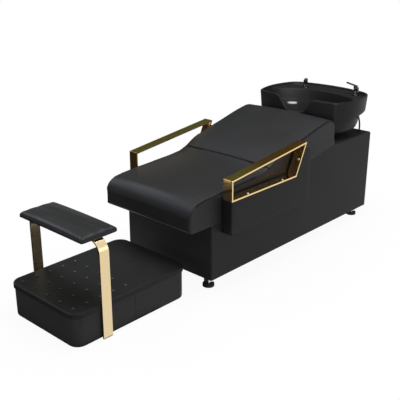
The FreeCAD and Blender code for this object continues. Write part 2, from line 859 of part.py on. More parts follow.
def bowl_bracket():
    plate = box(
        Vec(-bracket_half, bowl_front_y + bowl_depth * bracket_front_share, pedestal_top_z),
        Vec(bracket_half, bowl_front_y + bowl_depth * bracket_rear_share, pedestal_top_z + bracket_plate))
    drain = Vec(0, drain_y, pedestal_top_z)
    plate = plate.cut(rod(waste_opening_radius, drain - UP * overrun, drain + UP * overrun))
    low_x = ear_inner_x()
    high_x = low_x + ear_thickness
    for side in (-1, 1):
        ear = box(
            Vec(low_x, tilt_axis_y - ear_radius, pedestal_top_z), Vec(high_x, tilt_axis_y + ear_radius, tilt_axis_z))
        ear = ear.fuse(rod(ear_radius, axis_point(low_x), axis_point(high_x)))
        ear = ear.cut(rod(pin_radius + play, axis_point(low_x - overrun), axis_point(high_x + overrun)))
        plate = plate.fuse(ear if side > 0 else mirrored(ear))
    return plate.removeSplitter()


def bowl_hinge_pin():
    reach = ear_inner_x() + ear_thickness + pin_end
    return rod(pin_radius, axis_point(-reach), axis_point(reach))


def bowl_stops():
    low = pedestal_top_z + bracket_plate
    high = bowl_bottom_z - tilt_plate - soft_gap
    stop_y = bowl_front_y + bowl_depth * stop_share
    return Part.makeCompound(
        [rod(stop_radius, Vec(side * stop_x, stop_y, low), Vec(side * stop_x, stop_y, high)) for side in (-1, 1)])


def tilt_plate_piece():
    low_z = bowl_bottom_z - tilt_plate
    plate = box(
        Vec(-tilt_plate_half, bowl_front_y + bowl_depth * tilt_plate_front_share, low_z),
        Vec(tilt_plate_half, bowl_front_y + bowl_depth * tilt_plate_rear_share, bowl_bottom_z))
    plate = plate.cut(rod(tilt_plate_hole_radius, drain_place() - UP * overrun, drain_place() + UP * overrun))
    for side in (-1, 1):
        start = min(side * knuckle_inner_x, side * (knuckle_inner_x + knuckle_length))
        end = start + knuckle_length
        knuckle = rod(knuckle_radius, axis_point(start), axis_point(end))
        web = box(
            Vec(start, tilt_axis_y - knuckle_radius, tilt_axis_z), Vec(end, tilt_axis_y + knuckle_radius, low_z))
        plate = plate.fuse(knuckle).fuse(web)
    bore = rod(pin_radius + play, axis_point(-bracket_half), axis_point(bracket_half))
    return plate.cut(bore).removeSplitter()


# Mixer tap

def cap_low_z():
    return deck_z + mixer_height + cap_lift


def lever_axis_z():
    return cap_low_z() + cap_height - lever_pin_drop


def mixer_body():
    foot = mixer_place()
    top = foot + UP * mixer_height
    body = rod(mixer_radius, foot, top).fuse(rod(mixer_flange_radius, foot, foot + UP * mixer_flange))
    body = body.fuse(rod(mixer_shank_radius, foot - UP * mixer_shank_length, foot))
    socket = rod(cap_spigot_radius + play, top - UP * (cap_spigot_length + cap_lift), top + UP * overrun)
    return body.cut(socket).removeSplitter()


def shank_nut(place, radius, shank):
    top = place - UP * deck_thickness
    return hexagon(radius, top - UP * mixer_nut_height, top).cut(
        rod(shank + hole_play / 2, top - UP * (mixer_nut_height + overrun), top + UP * overrun))


def mixer_cap():
    low = Vec(mixer_x, mixer_y, cap_low_z())
    high = low + UP * cap_height
    cap = rod(cap_radius, low, high)
    cap = cap.makeFillet(cap_edge, edges_where(cap, lambda b: close(b.ZMin, high.z)))
    cap = cap.fuse(rod(cap_spigot_radius, low - UP * cap_spigot_length, low))
    half_slot = lever_tongue / 2 + lever_tongue_play
    slot = box(
        Vec(mixer_x - cap_radius - overrun, mixer_y - half_slot, lever_axis_z() - lever_tongue_reach),
        Vec(mixer_x + lever_tongue_reach, mixer_y + half_slot, high.z + overrun))
    pin_hole = rod(
        lever_pin_radius + play, Vec(mixer_x, mixer_y - cap_radius - overrun, lever_axis_z()),
        Vec(mixer_x, mixer_y + cap_radius + overrun, lever_axis_z()))
    return cap.cut(slot).cut(pin_hole)


def mixer_lever():
    """Flat handle drawn level about its pin, then raised to its resting angle."""
    pivot = Vec(mixer_x, mixer_y, lever_axis_z())
    half_pin = cap_radius - cap_edge
    pin = rod(lever_pin_radius, pivot - ALONG * half_pin, pivot + ALONG * half_pin)
    hub = rod(lever_tongue_reach - cap_edge, pivot - ALONG * (lever_tongue / 2), pivot + ALONG * (lever_tongue / 2))
    neck = box(
        pivot - Vec(cap_radius + cap_edge, lever_tongue / 2, lever_thickness),
        pivot + Vec(-cap_lift, lever_tongue / 2, lever_rise + lever_thickness / 2))
    low_z = pivot.z + lever_rise
    root_x = pivot.x + lever_root
    tip_x = root_x - lever_length
    blade = Part.Face(Part.Wire([
        line(Vec(root_x, pivot.y - lever_width / 2, low_z), Vec(root_x, pivot.y + lever_width / 2, low_z)),
        line(Vec(root_x, pivot.y + lever_width / 2, low_z), Vec(tip_x, pivot.y + lever_tip_width / 2, low_z)),
        arc(Vec(tip_x, pivot.y + lever_tip_width / 2, low_z), Vec(tip_x - lever_tip_round, pivot.y, low_z),
            Vec(tip_x, pivot.y - lever_tip_width / 2, low_z)),
        line(Vec(tip_x, pivot.y - lever_tip_width / 2, low_z), Vec(root_x, pivot.y - lever_width / 2, low_z))]))
    blade = blade.extrude(UP * lever_thickness)
    handle = pin.fuse(hub).fuse(neck).fuse(blade).removeSplitter()
    handle.rotate(pivot, ALONG, lever_angle)
    return handle


# Hand spray

def spray_socket():
    foot = spray_place()
    top = foot + UP * socket_height
    body = rod(socket_radius, foot, top).fuse(rod(socket_flange_radius, foot, foot + UP * socket_flange))
    body = body.fuse(rod(socket_shank_radius, foot - UP * socket_shank_length, foot))
    bore = rod(spray_stem_radius + play, foot - UP * (socket_shank_length + overrun), top + UP * overrun)
    return body.cut(bore).removeSplitter()


def rose_place():
    seat_z = deck_z + socket_height + soft_gap + spray_head_height - spray_rose_drop
    return Vec(spray_x, spray_y - spray_head_radius - spray_nose, seat_z)


def spray_body():
    foot = spray_place()
    shoulder = foot + UP * (socket_height + soft_gap)
    top = shoulder + UP * spray_head_height
    head = rod(spray_head_radius, shoulder, top)
    head = head.makeFillet(spray_dome, edges_where(head, lambda b: close(b.ZMin, top.z)))
    stem = rod(spray_stem_radius, foot - UP * deck_thickness, shoulder)
    nose = rod(spray_rose_radius + strainer_wall, rose_place(), rose_place() + ALONG * (spray_head_radius + spray_nose))
    head = head.fuse(stem).fuse(nose)
    recess = rod(spray_rose_radius, rose_place() - ALONG * overrun, rose_place() + ALONG * spray_rose_seat)
    return head.cut(recess).removeSplitter()


def spray_rose():
    seat = rose_place() + ALONG * spray_rose_seat
    return rod(spray_rose_radius - play, seat - ALONG * spray_rose_thickness, seat)


# Supply hoses

def supply_hose(side):
    inlet = hose_foot(side) + UP * inlet_above
    hole = hose_hole(side)
    end = mixer_place() + ACROSS * (side * hose_pitch) - UP * mixer_shank_length
    points = [
        inlet, inlet + UP * hose_low_rise, Vec(hole.x, hole.y, inlet.z + hose_high_rise),
        hole + UP * hose_lean_rise, end - UP * hose_end_run, end]
    path = tube_path(points, [hose_inner_bend, hose_inner_bend, hose_lower_bend, hose_upper_bend])
    return swept(path, hose_radius, inlet, UP).cut(swept(path, hose_bore, inlet, UP))


def hose_grommets():
    rings = []
    for side in hose_sides().values():
        hole = hose_hole(side)
        neck = rod(grommet_neck, hole - UP * cover_thickness, hole)
        lip = rod(grommet_radius, hole, hole + UP * grommet_lip)
        rings.append(neck.fuse(lip).removeSplitter().cut(
            rod(hose_radius + soft_gap, hole - UP * (cover_thickness + overrun), hole + UP * overrun)))
    return Part.makeCompound(rings)


def supply_inlets():
    inlets = []
    for side in hose_sides().values():
        foot = hose_foot(side)
        pipe = rod(inlet_radius, foot - UP * (board + inlet_below), foot + UP * inlet_above)
        nut = hexagon(inlet_hex_radius, foot, foot + UP * inlet_hex_height)
        thread = rod(inlet_thread_radius, foot - UP * board, foot)
        bore = rod(hose_bore, foot - UP * (board + inlet_below + overrun), foot + UP * (inlet_above + overrun))
        inlets.append(pipe.fuse(nut).fuse(thread).removeSplitter().cut(bore))
    return Part.makeCompound(inlets)


# Foot unit

def round_plan(z, half, half_length, corner):
    """Rounded rectangle about the foot unit's middle."""
    corner_x = half - corner
    corner_y = half_length - corner
    turn = corner * math.sqrt(0.5)
    middle = Vec(0, foot_unit_middle_y, z)
    edges = []
    quarter = [(1, -1), (1, 1), (-1, 1), (-1, -1)]
    for index, (sx, sy) in enumerate(quarter):
        centre = middle + Vec(sx * corner_x, sy * corner_y, 0)
        first, last = centre + Vec(0, sy * corner, 0), centre + Vec(sx * corner, 0, 0)
        if index % 2:
            first, last = last, first
        edges.append(arc(first, centre + Vec(sx * turn, sy * turn, 0), last))
        next_sx, next_sy = quarter[(index + 1) % 4]
        far = middle + Vec(next_sx * corner_x, next_sy * corner_y, 0)
        reach = Vec(0, next_sy * corner, 0) if index % 2 else Vec(next_sx * corner, 0, 0)
        edges.append(line(last, far + reach))
    return Part.Wire(edges)


def nub_places():
    start = foot_unit_front_y + nub_first_y
    for row in range(nub_rows):
        for column in range(nub_columns):
            yield Vec((column - (nub_columns - 1) / 2) * nub_pitch_x, start + row * nub_pitch_y, lid_top_z)


def foot_box_lid():
    low_z = lid_top_z - lid_edge_height
    half, half_length = lid_width / 2, lid_length / 2
    lid = Part.Face(round_plan(low_z, half, half_length, lid_corner)).extrude(UP * lid_edge_height)
    lid = lid.makeFillet(lid_edge_radius, edges_where(lid, lambda b: close(b.ZMin, lid_top_z)))
    inside = Part.Face(round_plan(low_z - overrun, half - lid_wall, half_length - lid_wall, lid_corner - lid_wall))
    lid = lid.cut(inside.extrude(UP * (lid_edge_height - lid_plate + overrun)))
    ball_radius = (nub_radius ** 2 + nub_height ** 2) / (2 * nub_height)
    for place in nub_places():
        ball = Part.makeSphere(ball_radius, place - UP * (ball_radius - nub_height))
        cap_low = place - Vec(ball_radius, ball_radius, nub_height / 2)
        lid = lid.fuse(ball.common(box(cap_low, place + Vec(ball_radius, ball_radius, nub_height + overrun))))
    return lid


def skirt_solid(inset):
    """Skirt's outside drawn in by an inset, from its rounded foot to the underside of the lid."""
    half_length = lid_length / 2 - skirt_inset
    sections = []
    for share in skirt_foot_shares:
        rise = share * skirt_foot_radius
        draw = inset + skirt_taper + round_nose(rise, skirt_foot_radius)
        sections.append(round_plan(
            skirt_bottom_z + rise, skirt_half - draw, half_length - draw, lid_corner - skirt_inset - draw))
    sections.append(round_plan(skirt_top_z, skirt_half - inset, half_length - inset, lid_corner - skirt_inset - inset))
    return Part.makeLoft(sections, True, True)


def skirt_half_at(z):
    share = (z - skirt_bottom_z - skirt_foot_radius) / (skirt_top_z - skirt_bottom_z - skirt_foot_radius)
    return skirt_half - skirt_taper * (1 - share)


def foot_box_shell(front):
    split_y = foot_unit_front_y + lid_length * shell_split_share
    shell = skirt_solid(0).cut(skirt_solid(skirt_wall))
    if front:
        low_y, high_y = foot_unit_front_y - overrun, split_y - shell_joint / 2
    else:
        low_y, high_y = split_y + shell_joint / 2, foot_unit_front_y + lid_length + overrun
    return shell.common(box(Vec(-lid_width, low_y, -overrun), Vec(lid_width, high_y, lid_top_z + overrun)))


def foot_box_base():
    plate = skirt_solid(skirt_wall + soft_gap)
    return plate.common(box(
        Vec(-lid_width, foot_unit_front_y, foot_pad_height),
        Vec(lid_width, foot_unit_front_y + lid_length, foot_pad_height + foot_base_thickness)))


def foot_box_pads():
    half_x = lid_width / 2 - foot_pad_inset
    half_y = lid_length / 2 - foot_pad_inset
    pads = []
    for sx in (-1, 1):
        for sy in (-1, 1):
            place = Vec(sx * half_x, foot_unit_middle_y + sy * half_y, 0)
            pads.append(rod(foot_pad_radius, place, place + UP * foot_pad_height))
    return Part.makeCompound(pads)


def strap_bow(half, top_z, bend, y):
    low_z = strap_floor_gap
    turn = bend * (1 - math.sqrt(0.5))
    return [
        line(Vec(-half, y, low_z), Vec(-half, y, top_z - bend)),
        arc(Vec(-half, y, top_z - bend), Vec(turn - half, y, top_z - turn), Vec(bend - half, y, top_z)),
        line(Vec(bend - half, y, top_z), Vec(half - bend, y, top_z)),
        arc(Vec(half - bend, y, top_z), Vec(half - turn, y, top_z - turn), Vec(half, y, top_z - bend)),
        line(Vec(half, y, top_z - bend), Vec(half, y, low_z))]


def strap_front_y():
    return foot_unit_front_y + strap_front


def foot_strap():
    y = strap_front_y()
    inner_half_width = strap_half - strap_bar
    outer = strap_bow(strap_half, strap_top_z, strap_bend, y)
    inner = strap_bow(inner_half_width, strap_top_z - strap_bar, strap_bend - strap_bar, y)
    ends = [
        line(Vec(side * strap_half, y, strap_floor_gap), Vec(side * inner_half_width, y, strap_floor_gap))
        for side in (-1, 1)]
    outline = Part.Wire(Part.__sortEdges__(outer + inner + ends))
    bar = Part.Face(outline).extrude(ALONG * strap_width)
    for place in rest_screw_places():
        bar = bar.cut(rod(screw_radius + hole_play, place - UP * overrun, place + UP * overrun))
    return bar


def strap_bosses():
    y = strap_front_y() + strap_width / 2
    bosses = []
    for side in (-1, 1):
        for z in (boss_low_z, boss_high_z):
            wall_x = side * skirt_half_at(z + boss_radius)
            bosses.append(rod(boss_radius, Vec(wall_x, y, z), Vec(side * (strap_half - strap_bar), y, z)))
    return Part.makeCompound(bosses)


def rest_front_y():
    return foot_unit_front_y + rest_front


def pad_board():
    return box(
        Vec(rest_board_inset - rest_half, rest_front_y() + rest_board_inset, strap_top_z),
        Vec(rest_half - rest_board_inset, rest_front_y() + rest_length - rest_board_inset, strap_top_z + rest_board))


def rest_screw_places():
    y = strap_front_y() + strap_width / 2
    return [Vec(side * rest_half * rest_screw_x_share, y, strap_top_z) for side in (-1, 1)]


def pad_screws():
    screws = []
    for place in rest_screw_places():
        seat = place - UP * strap_bar
        head = Part.makeCone(screw_head_radius, screw_radius, screw_head_height, seat, UP * -1)
        screws.append(rod(screw_radius, seat, place).fuse(head).removeSplitter())
    return Part.makeCompound(screws)


def foot_pad():
    low = strap_top_z + soft_gap
    sections = []
    for share in rest_station_shares:
        reach = min(share, 1 - share) * rest_length
        fall = round_nose(reach, rest_nose)
        sections.append(soft_section(
            rest_front_y() + share * rest_length, rest_half - fall / 3, low, low + rest_edge - fall * 0.8,
            rest_crown * math.sin(math.pi * (rest_nose + reach) / (rest_length + rest_nose)),
            rest_draw, min(rest_corner, rest_edge / 2 - fall / 2)))
    pad = Part.makeLoft(sections, True, False)
    room = Vec(soft_gap, soft_gap, soft_gap)
    recess = box(
        Vec(rest_board_inset - rest_half, rest_front_y() + rest_board_inset, strap_top_z - overrun) - room,
        Vec(rest_half - rest_board_inset, rest_front_y() + rest_length - rest_board_inset,
            strap_top_z + rest_board) + room)
    return pad.cut(recess)


nodes = {
    "right_side_panel": side_panel(),
    "front_panel": front_panel(),
    "rear_panel": rear_panel(),
    "rear_panel_screws": Part.makeCompound([rear_screw(place) for place in rear_screw_places()]),
    "bottom_board": bottom_board(),
    "seat_board": seat_board(),
    "cross_rails": cross_rails(),
    "back_board": back_board(),
    "bulkhead": bulkhead(),
    "pedestal_cover": pedestal_cover(),
    "seat_cushion": seat_cushion(),
    "back_cushion": back_cushion(),
    "right_arm_block": arm_block(),
    "right_arm_frame": arm_frame(),
    "right_arm_screws": arm_screws(),
    "foot_plates": foot_plates(),
    "bowl_bracket": bowl_bracket(),
    "bowl_hinge_pin": bowl_hinge_pin(),
    "bowl_stops": bowl_stops(),
    "hose_grommets": hose_grommets(),
    "supply_inlets": supply_inlets(),
    "waste_outlet": waste_outlet(),
    "waste_hose": waste_hose(),
    "bowl": bowl(),
    "tilt_plate": tilt_plate_piece(),
    "drain_strainer": drain_strainer(),
    "drain_seal": drain_seal(),
    "waste_tail": waste_tail(),
    "mixer_body": mixer_body(),
    "mixer_nut": shank_nut(mixer_place(), mixer_nut_radius, mixer_shank_radius),
    "mixer_cap": mixer_cap(),
    "mixer_lever": mixer_lever(),
    "spray_socket": spray_socket(),
    "spray_nut": shank_nut(spray_place(), socket_nut_radius, socket_shank_radius),
    "spray_body": spray_body(),
    "spray_rose": spray_rose(),
    "foot_box_lid": foot_box_lid(),
    "foot_box_front_shell": foot_box_shell(True),
    "foot_box_rear_shell": foot_box_shell(False),
    "foot_box_base": foot_box_base(),
    "foot_box_pads": foot_box_pads(),
    "foot_strap": foot_strap(),
    "strap_bosses": strap_bosses(),
    "pad_board": pad_board(),
    "pad_screws": pad_screws(),
    "foot_pad": foot_pad(),
}
for name in ("side_panel", "arm_block", "arm_frame", "arm_screws"):
    nodes["left_" + name] = mirrored(nodes["right_" + name])
for name, place in foot_places().items():
    nodes[name + "_foot_stem"] = foot_stem(place)
    nodes[name + "_foot_disc"] = foot_disc(place)
for name, side in hose_sides().items():
    nodes[name + "_hose"] = supply_hose(side)

os.makedirs("parts", exist_ok=True)
for name, shape in nodes.items():
    shape.exportStep("parts/" + name + ".step")
    state = "valid" if shape.isValid() else "NOT VALID"
    print(name, len(shape.Solids), "solids,", round(shape.Volume / 1000), "cm3,", state)
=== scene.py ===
# %% [markdown]
# # Dressing a shampoo chair
# The engineering model arrives as plain solids: carcass boards, cushions, gold arm frames, a tilting bowl
# and a separate foot unit. This lesson gives every one of them the surface of the real piece. Each step says
# what the piece is, how it could be made, and why this way was chosen.

# %% Load the frame
import json
import math

import bmesh
import bpy
import numpy as np
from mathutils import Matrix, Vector, kdtree
from mathutils.bvhtree import BVHTree


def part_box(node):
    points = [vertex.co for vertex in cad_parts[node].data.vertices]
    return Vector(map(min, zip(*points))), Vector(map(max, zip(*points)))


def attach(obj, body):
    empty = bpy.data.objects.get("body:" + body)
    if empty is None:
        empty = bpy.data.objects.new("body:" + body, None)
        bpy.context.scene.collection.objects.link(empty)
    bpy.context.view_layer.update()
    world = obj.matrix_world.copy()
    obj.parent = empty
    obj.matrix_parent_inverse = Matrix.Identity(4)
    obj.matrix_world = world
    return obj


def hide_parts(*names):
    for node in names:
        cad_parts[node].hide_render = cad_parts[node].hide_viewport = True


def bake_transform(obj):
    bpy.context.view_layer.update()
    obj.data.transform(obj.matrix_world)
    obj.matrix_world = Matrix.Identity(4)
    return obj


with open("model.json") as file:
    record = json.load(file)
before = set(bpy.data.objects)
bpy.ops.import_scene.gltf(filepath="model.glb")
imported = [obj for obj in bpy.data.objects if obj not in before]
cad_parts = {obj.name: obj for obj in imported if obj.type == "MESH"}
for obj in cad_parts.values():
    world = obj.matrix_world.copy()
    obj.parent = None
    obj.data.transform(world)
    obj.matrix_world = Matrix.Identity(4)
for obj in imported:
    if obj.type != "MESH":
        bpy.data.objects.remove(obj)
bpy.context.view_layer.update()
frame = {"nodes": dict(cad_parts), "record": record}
nodes = frame["nodes"]
scene = bpy.context.scene
MM = 0.001

# %% [markdown]
# ## Camera
# The picture was taken from the foot end, on the sitter's left, about a metre above the bowl. A long lens
# keeps the sides of the base almost parallel, so the camera stands far off.


# %% Camera
def placed(name, data):
    """A new object in the scene."""
    obj = bpy.data.objects.new(name, data)
    scene.collection.objects.link(obj)
    return obj


camera_place = Vector((2.4433, -2.7250, 1.7079))
camera_turn = math.radians(43.0)
camera_fall = math.radians(20.8)
looking = Vector((
    -math.sin(camera_turn) * math.cos(camera_fall),
    math.cos(camera_turn) * math.cos(camera_fall),
    -math.sin(camera_fall)))
camera = placed("camera", bpy.data.cameras.new("camera"))
camera.data.lens = 64.7
camera.data.sensor_width = 36.0
camera.location = camera_place
camera.rotation_euler = looking.to_track_quat("-Z", "Y").to_euler()
scene.camera = camera
scene.view_settings.view_transform = "Standard"
print("camera:", tuple(round(value, 2) for value in camera_place))

# %% [markdown]
# ## Small classes for node trees
# A node tree is a list of sums, so it reads best as sums. `Link` wraps a socket and turns `+`, `-` and `*`
# into Math nodes, and `Graph.node` adds any other node: first its settings, then its inputs. `Finish.surface`
# sets what varies on every finish here: two tones, roughness and bump.


# %% Node trees as expressions
class Link:
    """A socket's value, so that shader maths is written with operators."""

    def __init__(self, graph, socket):
        self.graph = graph
        self.socket = socket

    def math(self, operation, first, second):
        return self.graph.node("ShaderNodeMath", {"operation": operation}, {0: first, 1: second})

    def __add__(self, other):
        return self.math("ADD", self, other)

    __radd__ = __add__

    def __rsub__(self, other):
        return self.math("SUBTRACT", other, self)

    def __mul__(self, other):
        return self.math("MULTIPLY", self, other)


class Graph:
    """A node tree with one method that adds nodes."""

    def __init__(self, tree):
        self.tree = tree

    def node(self, kind, settings=None, inputs=None, output=0):
        made = self.tree.nodes.new(kind)
        for key, value in (settings or {}).items():
            setattr(made, key, value)
        for key, value in (inputs or {}).items():
            self.set(made.inputs[key], value)
        return Link(self, made.outputs[output])

    def set(self, socket, value):
        if isinstance(value, Link):
            self.tree.links.new(value.socket, socket)
        else:
            socket.default_value = value

    def blend(self, factor, first, second):
        return self.node(
            "ShaderNodeMix", {"data_type": "RGBA"}, {0: factor, 6: first, 7: second}, output=2)


class Finish(Graph):
    """A material with its one shader, whose constant values are set on the shader's own sockets."""

    def __init__(self, name, **constants):
        self.material = bpy.data.materials.new(name)
        self.material.use_nodes = True
        super().__init__(self.material.node_tree)
        self.shader = self.tree.nodes["Principled BSDF"]
        for key, value in constants.items():
            self.feed(key.replace("_", " ").title().replace("Ior", "IOR"), value)

    def feed(self, name, value):
        self.set(self.shader.inputs[name], value)

    def place(self):
        return self.node("ShaderNodeTexCoord", output="Object")

    def noise(self, scale, detail=2.0, roughness=0.5):
        return self.node(
            "ShaderNodeTexNoise", None,
            {"Vector": self.place(), "Scale": scale, "Detail": detail, "Roughness": roughness})

    def wave(self, direction, scale):
        return self.node(
            "ShaderNodeTexWave", {"bands_direction": direction}, {"Vector": self.place(), "Scale": scale})

    def chips(self, scale):
        """Patches of random greys, as one number."""
        cells = self.node(
            "ShaderNodeTexVoronoi", None, {"Vector": self.place(), "Scale": scale}, output="Color")
        return self.node("ShaderNodeRGBToBW", None, {0: cells})

    def surface(self, share, first, second, roughness, height, strength, distance):
        self.feed("Base Color", self.blend(share, first, second))
        self.feed("Roughness", roughness)
        self.feed("Normal", self.node(
            "ShaderNodeBump", None, {"Height": height, "Strength": strength, "Distance": distance}))
        return self.material


def grey(level, blue=1.0):
    return (level, level, level * blue, 1.0)


print("node helpers: Link, Graph and Finish")

# %% [markdown]
# ## Studio
# A pale floor and a white surround stand for the paper sweep. The lamps are large and soft: one overhead,
# one on the right, a weak one low in front, and a cool one on the left that draws the sheen along the seat's
# front edge. Polished metal mirrors whatever stands opposite, so a dim olive card hangs behind the chair, and
# dark mats and a dark screen stand in front, as a photographer sets flags. They show in reflections alone.
# Light linking stands for barn doors: it keeps a lamp off a piece, or gives a card to one piece alone.


# %% White surround
def seen_directly(graph):
    """1 for rays that show the background itself: to the eye, in a mirror, or through glass."""
    path = graph.tree.nodes.new("ShaderNodeLightPath")
    kinds = ("Is Camera Ray", "Is Glossy Ray", "Is Transmission Ray")
    eye, mirror, glass = (Link(graph, path.outputs[kind]) for kind in kinds)
    total = eye + mirror + glass
    return graph.node("ShaderNodeMath", {"operation": "MINIMUM"}, {0: total, 1: 1.0})


surround_light = 0.12
world = bpy.data.worlds.new("surround")
scene.world = world
world.use_nodes = True
surround = Graph(world.node_tree)
background = world.node_tree.nodes["Background"]
surround.set(background.inputs["Color"], (1.0, 1.0, 1.0, 1.0))
surround.set(background.inputs["Strength"], surround_light + seen_directly(surround) * (1.0 - surround_light))
print("surround: white to the eye, dim as a lamp")


# %% Floor
def bare_material(name):
    """A material without a shader, and its graph."""
    material = bpy.data.materials.new(name)
    material.use_nodes = True
    graph = Graph(material.node_tree)
    graph.tree.nodes.remove(graph.tree.nodes["Principled BSDF"])
    return material, graph


floor_half = 40.0
near_glow = 0.94            # plain white share of the floor beside the chair, where the shadow has to show
glow_start, glow_end = 0.55, 1.0    # the share rises to all of it between these distances
glow_stretch = (1.0, 0.55, 1.0)     # distances count less along the chair
bpy.ops.mesh.primitive_plane_add(size=2 * floor_half)
floor = bpy.context.object
floor.name = "floor"
floor_material, paper = bare_material("floor_paper")
place = paper.node("ShaderNodeTexCoord", output="Object")
stretched = paper.node("ShaderNodeVectorMath", {"operation": "MULTIPLY"}, {0: place, 1: glow_stretch})
distance = paper.node("ShaderNodeVectorMath", {"operation": "LENGTH"}, {0: stretched}, output="Value")
far = paper.node(
    "ShaderNodeMapRange", {"interpolation_type": "SMOOTHSTEP"},
    {"Value": distance, "From Min": glow_start, "From Max": glow_end, "To Min": near_glow})
matt = paper.node("ShaderNodeBsdfDiffuse", None, {"Color": grey(0.82)})
glow = paper.node("ShaderNodeEmission", None, {"Color": grey(1.0), "Strength": 1.0})
lit = paper.node("ShaderNodeMixShader", None, {0: seen_directly(paper) * far, 1: matt, 2: glow})
paper.set(paper.tree.nodes["Material Output"].inputs["Surface"], lit)
floor.data.materials.append(floor_material)
print("floor:", 2 * floor_half, "m square")


# %% Lamps
def lamp(name, place, aim, size, watts, colour=(1.0, 1.0, 1.0)):
    data = bpy.data.lights.new(name, "AREA")
    data.shape = "RECTANGLE"
    data.size, data.size_y = size
    data.energy = watts
    data.color = colour
    obj = placed(name, data)
    obj.location = place
    obj.rotation_euler = (Vector(aim) - Vector(place)).to_track_quat("-Z", "Y").to_euler()
    return obj


lamp("overhead", (0.5, 0.2, 4.2), (0.0, 0.1, 0.3), (1.7, 1.7), 140.0)
lamp("right_side", (4.6, -0.2, 2.2), (0.0, 0.0, 0.3), (2.4, 2.4), 40.0)
front_left = lamp("front_left", (-3.0, -1.5, 3.4), (0.0, -0.4, 0.4), (1.5, 1.5), 50.0, (0.82, 0.9, 1.0))
lamp("low_front", (-1.4, -4.2, 0.9), (0.0, -0.5, 0.2), (2.6, 1.0), 30.0)
print("lamps: overhead, right side, front left and low front")

# %% Flags for the reflections
away = Vector((-math.sin(camera_turn), math.cos(camera_turn), 0.0))
across = Vector((math.cos(camera_turn), math.sin(camera_turn), 0.0))
up = Vector((0, 0, 1))


def card_corners(middle, half_side, half_rise):
    """Corners of a card, from its middle and the ways to its side and to its upper edge."""
    signs = ((-1, -1), (1, -1), (1, 1), (-1, 1))
    return [middle + half_side * side + half_rise * rise for side, rise in signs]


def flag(name, corners, colour, far_colour=None, turn_end=1.0):
    """A card seen in reflections alone. Right of the scene's middle its colour turns to the far one."""
    mesh = bpy.data.meshes.new(name)
    mesh.from_pydata(corners, [], [(0, 1, 2, 3)])
    obj = placed(name, mesh)
    obj.visible_camera = obj.visible_diffuse = obj.visible_shadow = obj.visible_transmission = False
    material, graph = bare_material(name)
    spot = graph.node("ShaderNodeTexCoord", output="Object")
    along = graph.node(
        "ShaderNodeVectorMath", {"operation": "DOT_PRODUCT"}, {0: spot, 1: across}, output="Value")
    turn = graph.node("ShaderNodeMapRange", None, {"Value": along, "From Max": turn_end})
    tone = graph.blend(turn, colour, far_colour or colour)
    shown = graph.node("ShaderNodeEmission", None, {"Color": tone, "Strength": 1.0})
    graph.set(graph.tree.nodes["Material Output"].inputs["Surface"], shown)
    mesh.materials.append(material)
    return obj


def share_light(source, state, *pieces):
    """Lets a lamp or card shine on these pieces alone (INCLUDE), or on all but these (EXCLUDE)."""
    receivers = bpy.data.collections.new(source.name + "_receivers")
    for piece in pieces:
        receivers.objects.link(piece)
    for member in receivers.collection_objects:
        member.light_linking.link_state = state
    source.light_linking.receiver_collection = receivers


olive, brown, dark = (0.080, 0.098, 0.040, 1.0), (0.060, 0.044, 0.020, 1.0), (0.026, 0.019, 0.010, 1.0)
card_half, card_low, card_high, card_distance = 4.5, 0.9, 6.0, 5.0
card_middle = away * card_distance + up * (card_low + card_high) / 2
flag("back_card", card_corners(card_middle, across * card_half, up * (card_high - card_low) / 2),
     olive, brown, turn_end=0.45)
mat_far, mat_height = -7.0, 1 * MM
post_low, post_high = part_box("front_right_foot_stem")
mats = {
    "front_mat": (mat_far, 0.26, mat_far, -0.62), "left_mat": (mat_far, -0.8, -0.62, -0.2),
    "foot_mat": (post_low.x - 0.12, post_high.x, post_low.y - 0.10, post_low.y)}
for name, (left, right, front, rear) in mats.items():
    flag(name, [
        (left, front, mat_height), (right, front, mat_height), (right, rear, mat_height),
        (left, rear, mat_height)], dark)
screen_distance, screen_half, screen_high = 4.5, 3.5, 4.2
screen_rise = up * screen_high / 2
screen_middle = Vector((-0.66, -0.75, 0.0)) * screen_distance + screen_rise
flag("front_screen", card_corners(screen_middle, Vector((0.75, -0.66, 0.0)) * screen_half, screen_rise), dark)
print("flags: back card, front screen and", len(mats), "mats")

# %% [markdown]
# ## Upholstery leather
# The covers are smooth black leathercloth: a pebbled grain of cells about 1.3 mm wide, finer pores inside
# them, and broad soft mottling from handling. The grain is a Voronoi pattern in Object coordinates, so it
# keeps its size on every panel. An attribute paints shade into the seams, the fold between the cushions and
# the arm blocks' lower and rear edges.


# %% Leather
def leather(name, level, sheen_roughness, shine):
    grain, pore = 1.3 * MM, 0.35 * MM
    finish = Finish(name, specular_ior_level=shine)
    cells = finish.node(
        "ShaderNodeTexVoronoi", {"feature": "DISTANCE_TO_EDGE"},
        {"Vector": finish.place(), "Scale": 1 / grain, "Randomness": 0.9})
    pores = finish.noise(1 / pore)
    handling = finish.noise(5.0, detail=4.0)
    stretch = finish.noise(38.0, detail=3.0)
    # painted shade: where the attribute is high the leather turns near black, in the seams, the fold between
    # the cushions and the arm blocks' edges
    painted_shade = finish.node("ShaderNodeAttribute", {"attribute_name": "painted_shade"}, output="Fac")
    tone = finish.blend(handling, grey(level * 0.82, 1.10), grey(level * 1.18, 1.13))
    return finish.surface(
        painted_shade, tone, grey(level * 0.05), sheen_roughness - 0.07 + handling * 0.14 + painted_shade * 0.5,
        cells * 0.8 + pores * 0.25 + stretch * 1.2, 0.22, 0.35 * MM)


cushion_leather = leather("cushion_leather", 0.0150, 0.47, 0.20)
board_leather = leather("board_leather", 0.0145, 0.50, 0.12)
print("leather: cushion and board covers")

# %% [markdown]
# ## Metals
# The arm frames and the strap are flat steel bar plated pale gold and polished, so almost all of their look
# is reflection. Faint roughness clouds keep the mirror from being perfect. The foot posts and the drain are
# chrome, and the brackets and screws bright zinc, whose crystals show as patches of differing roughness.


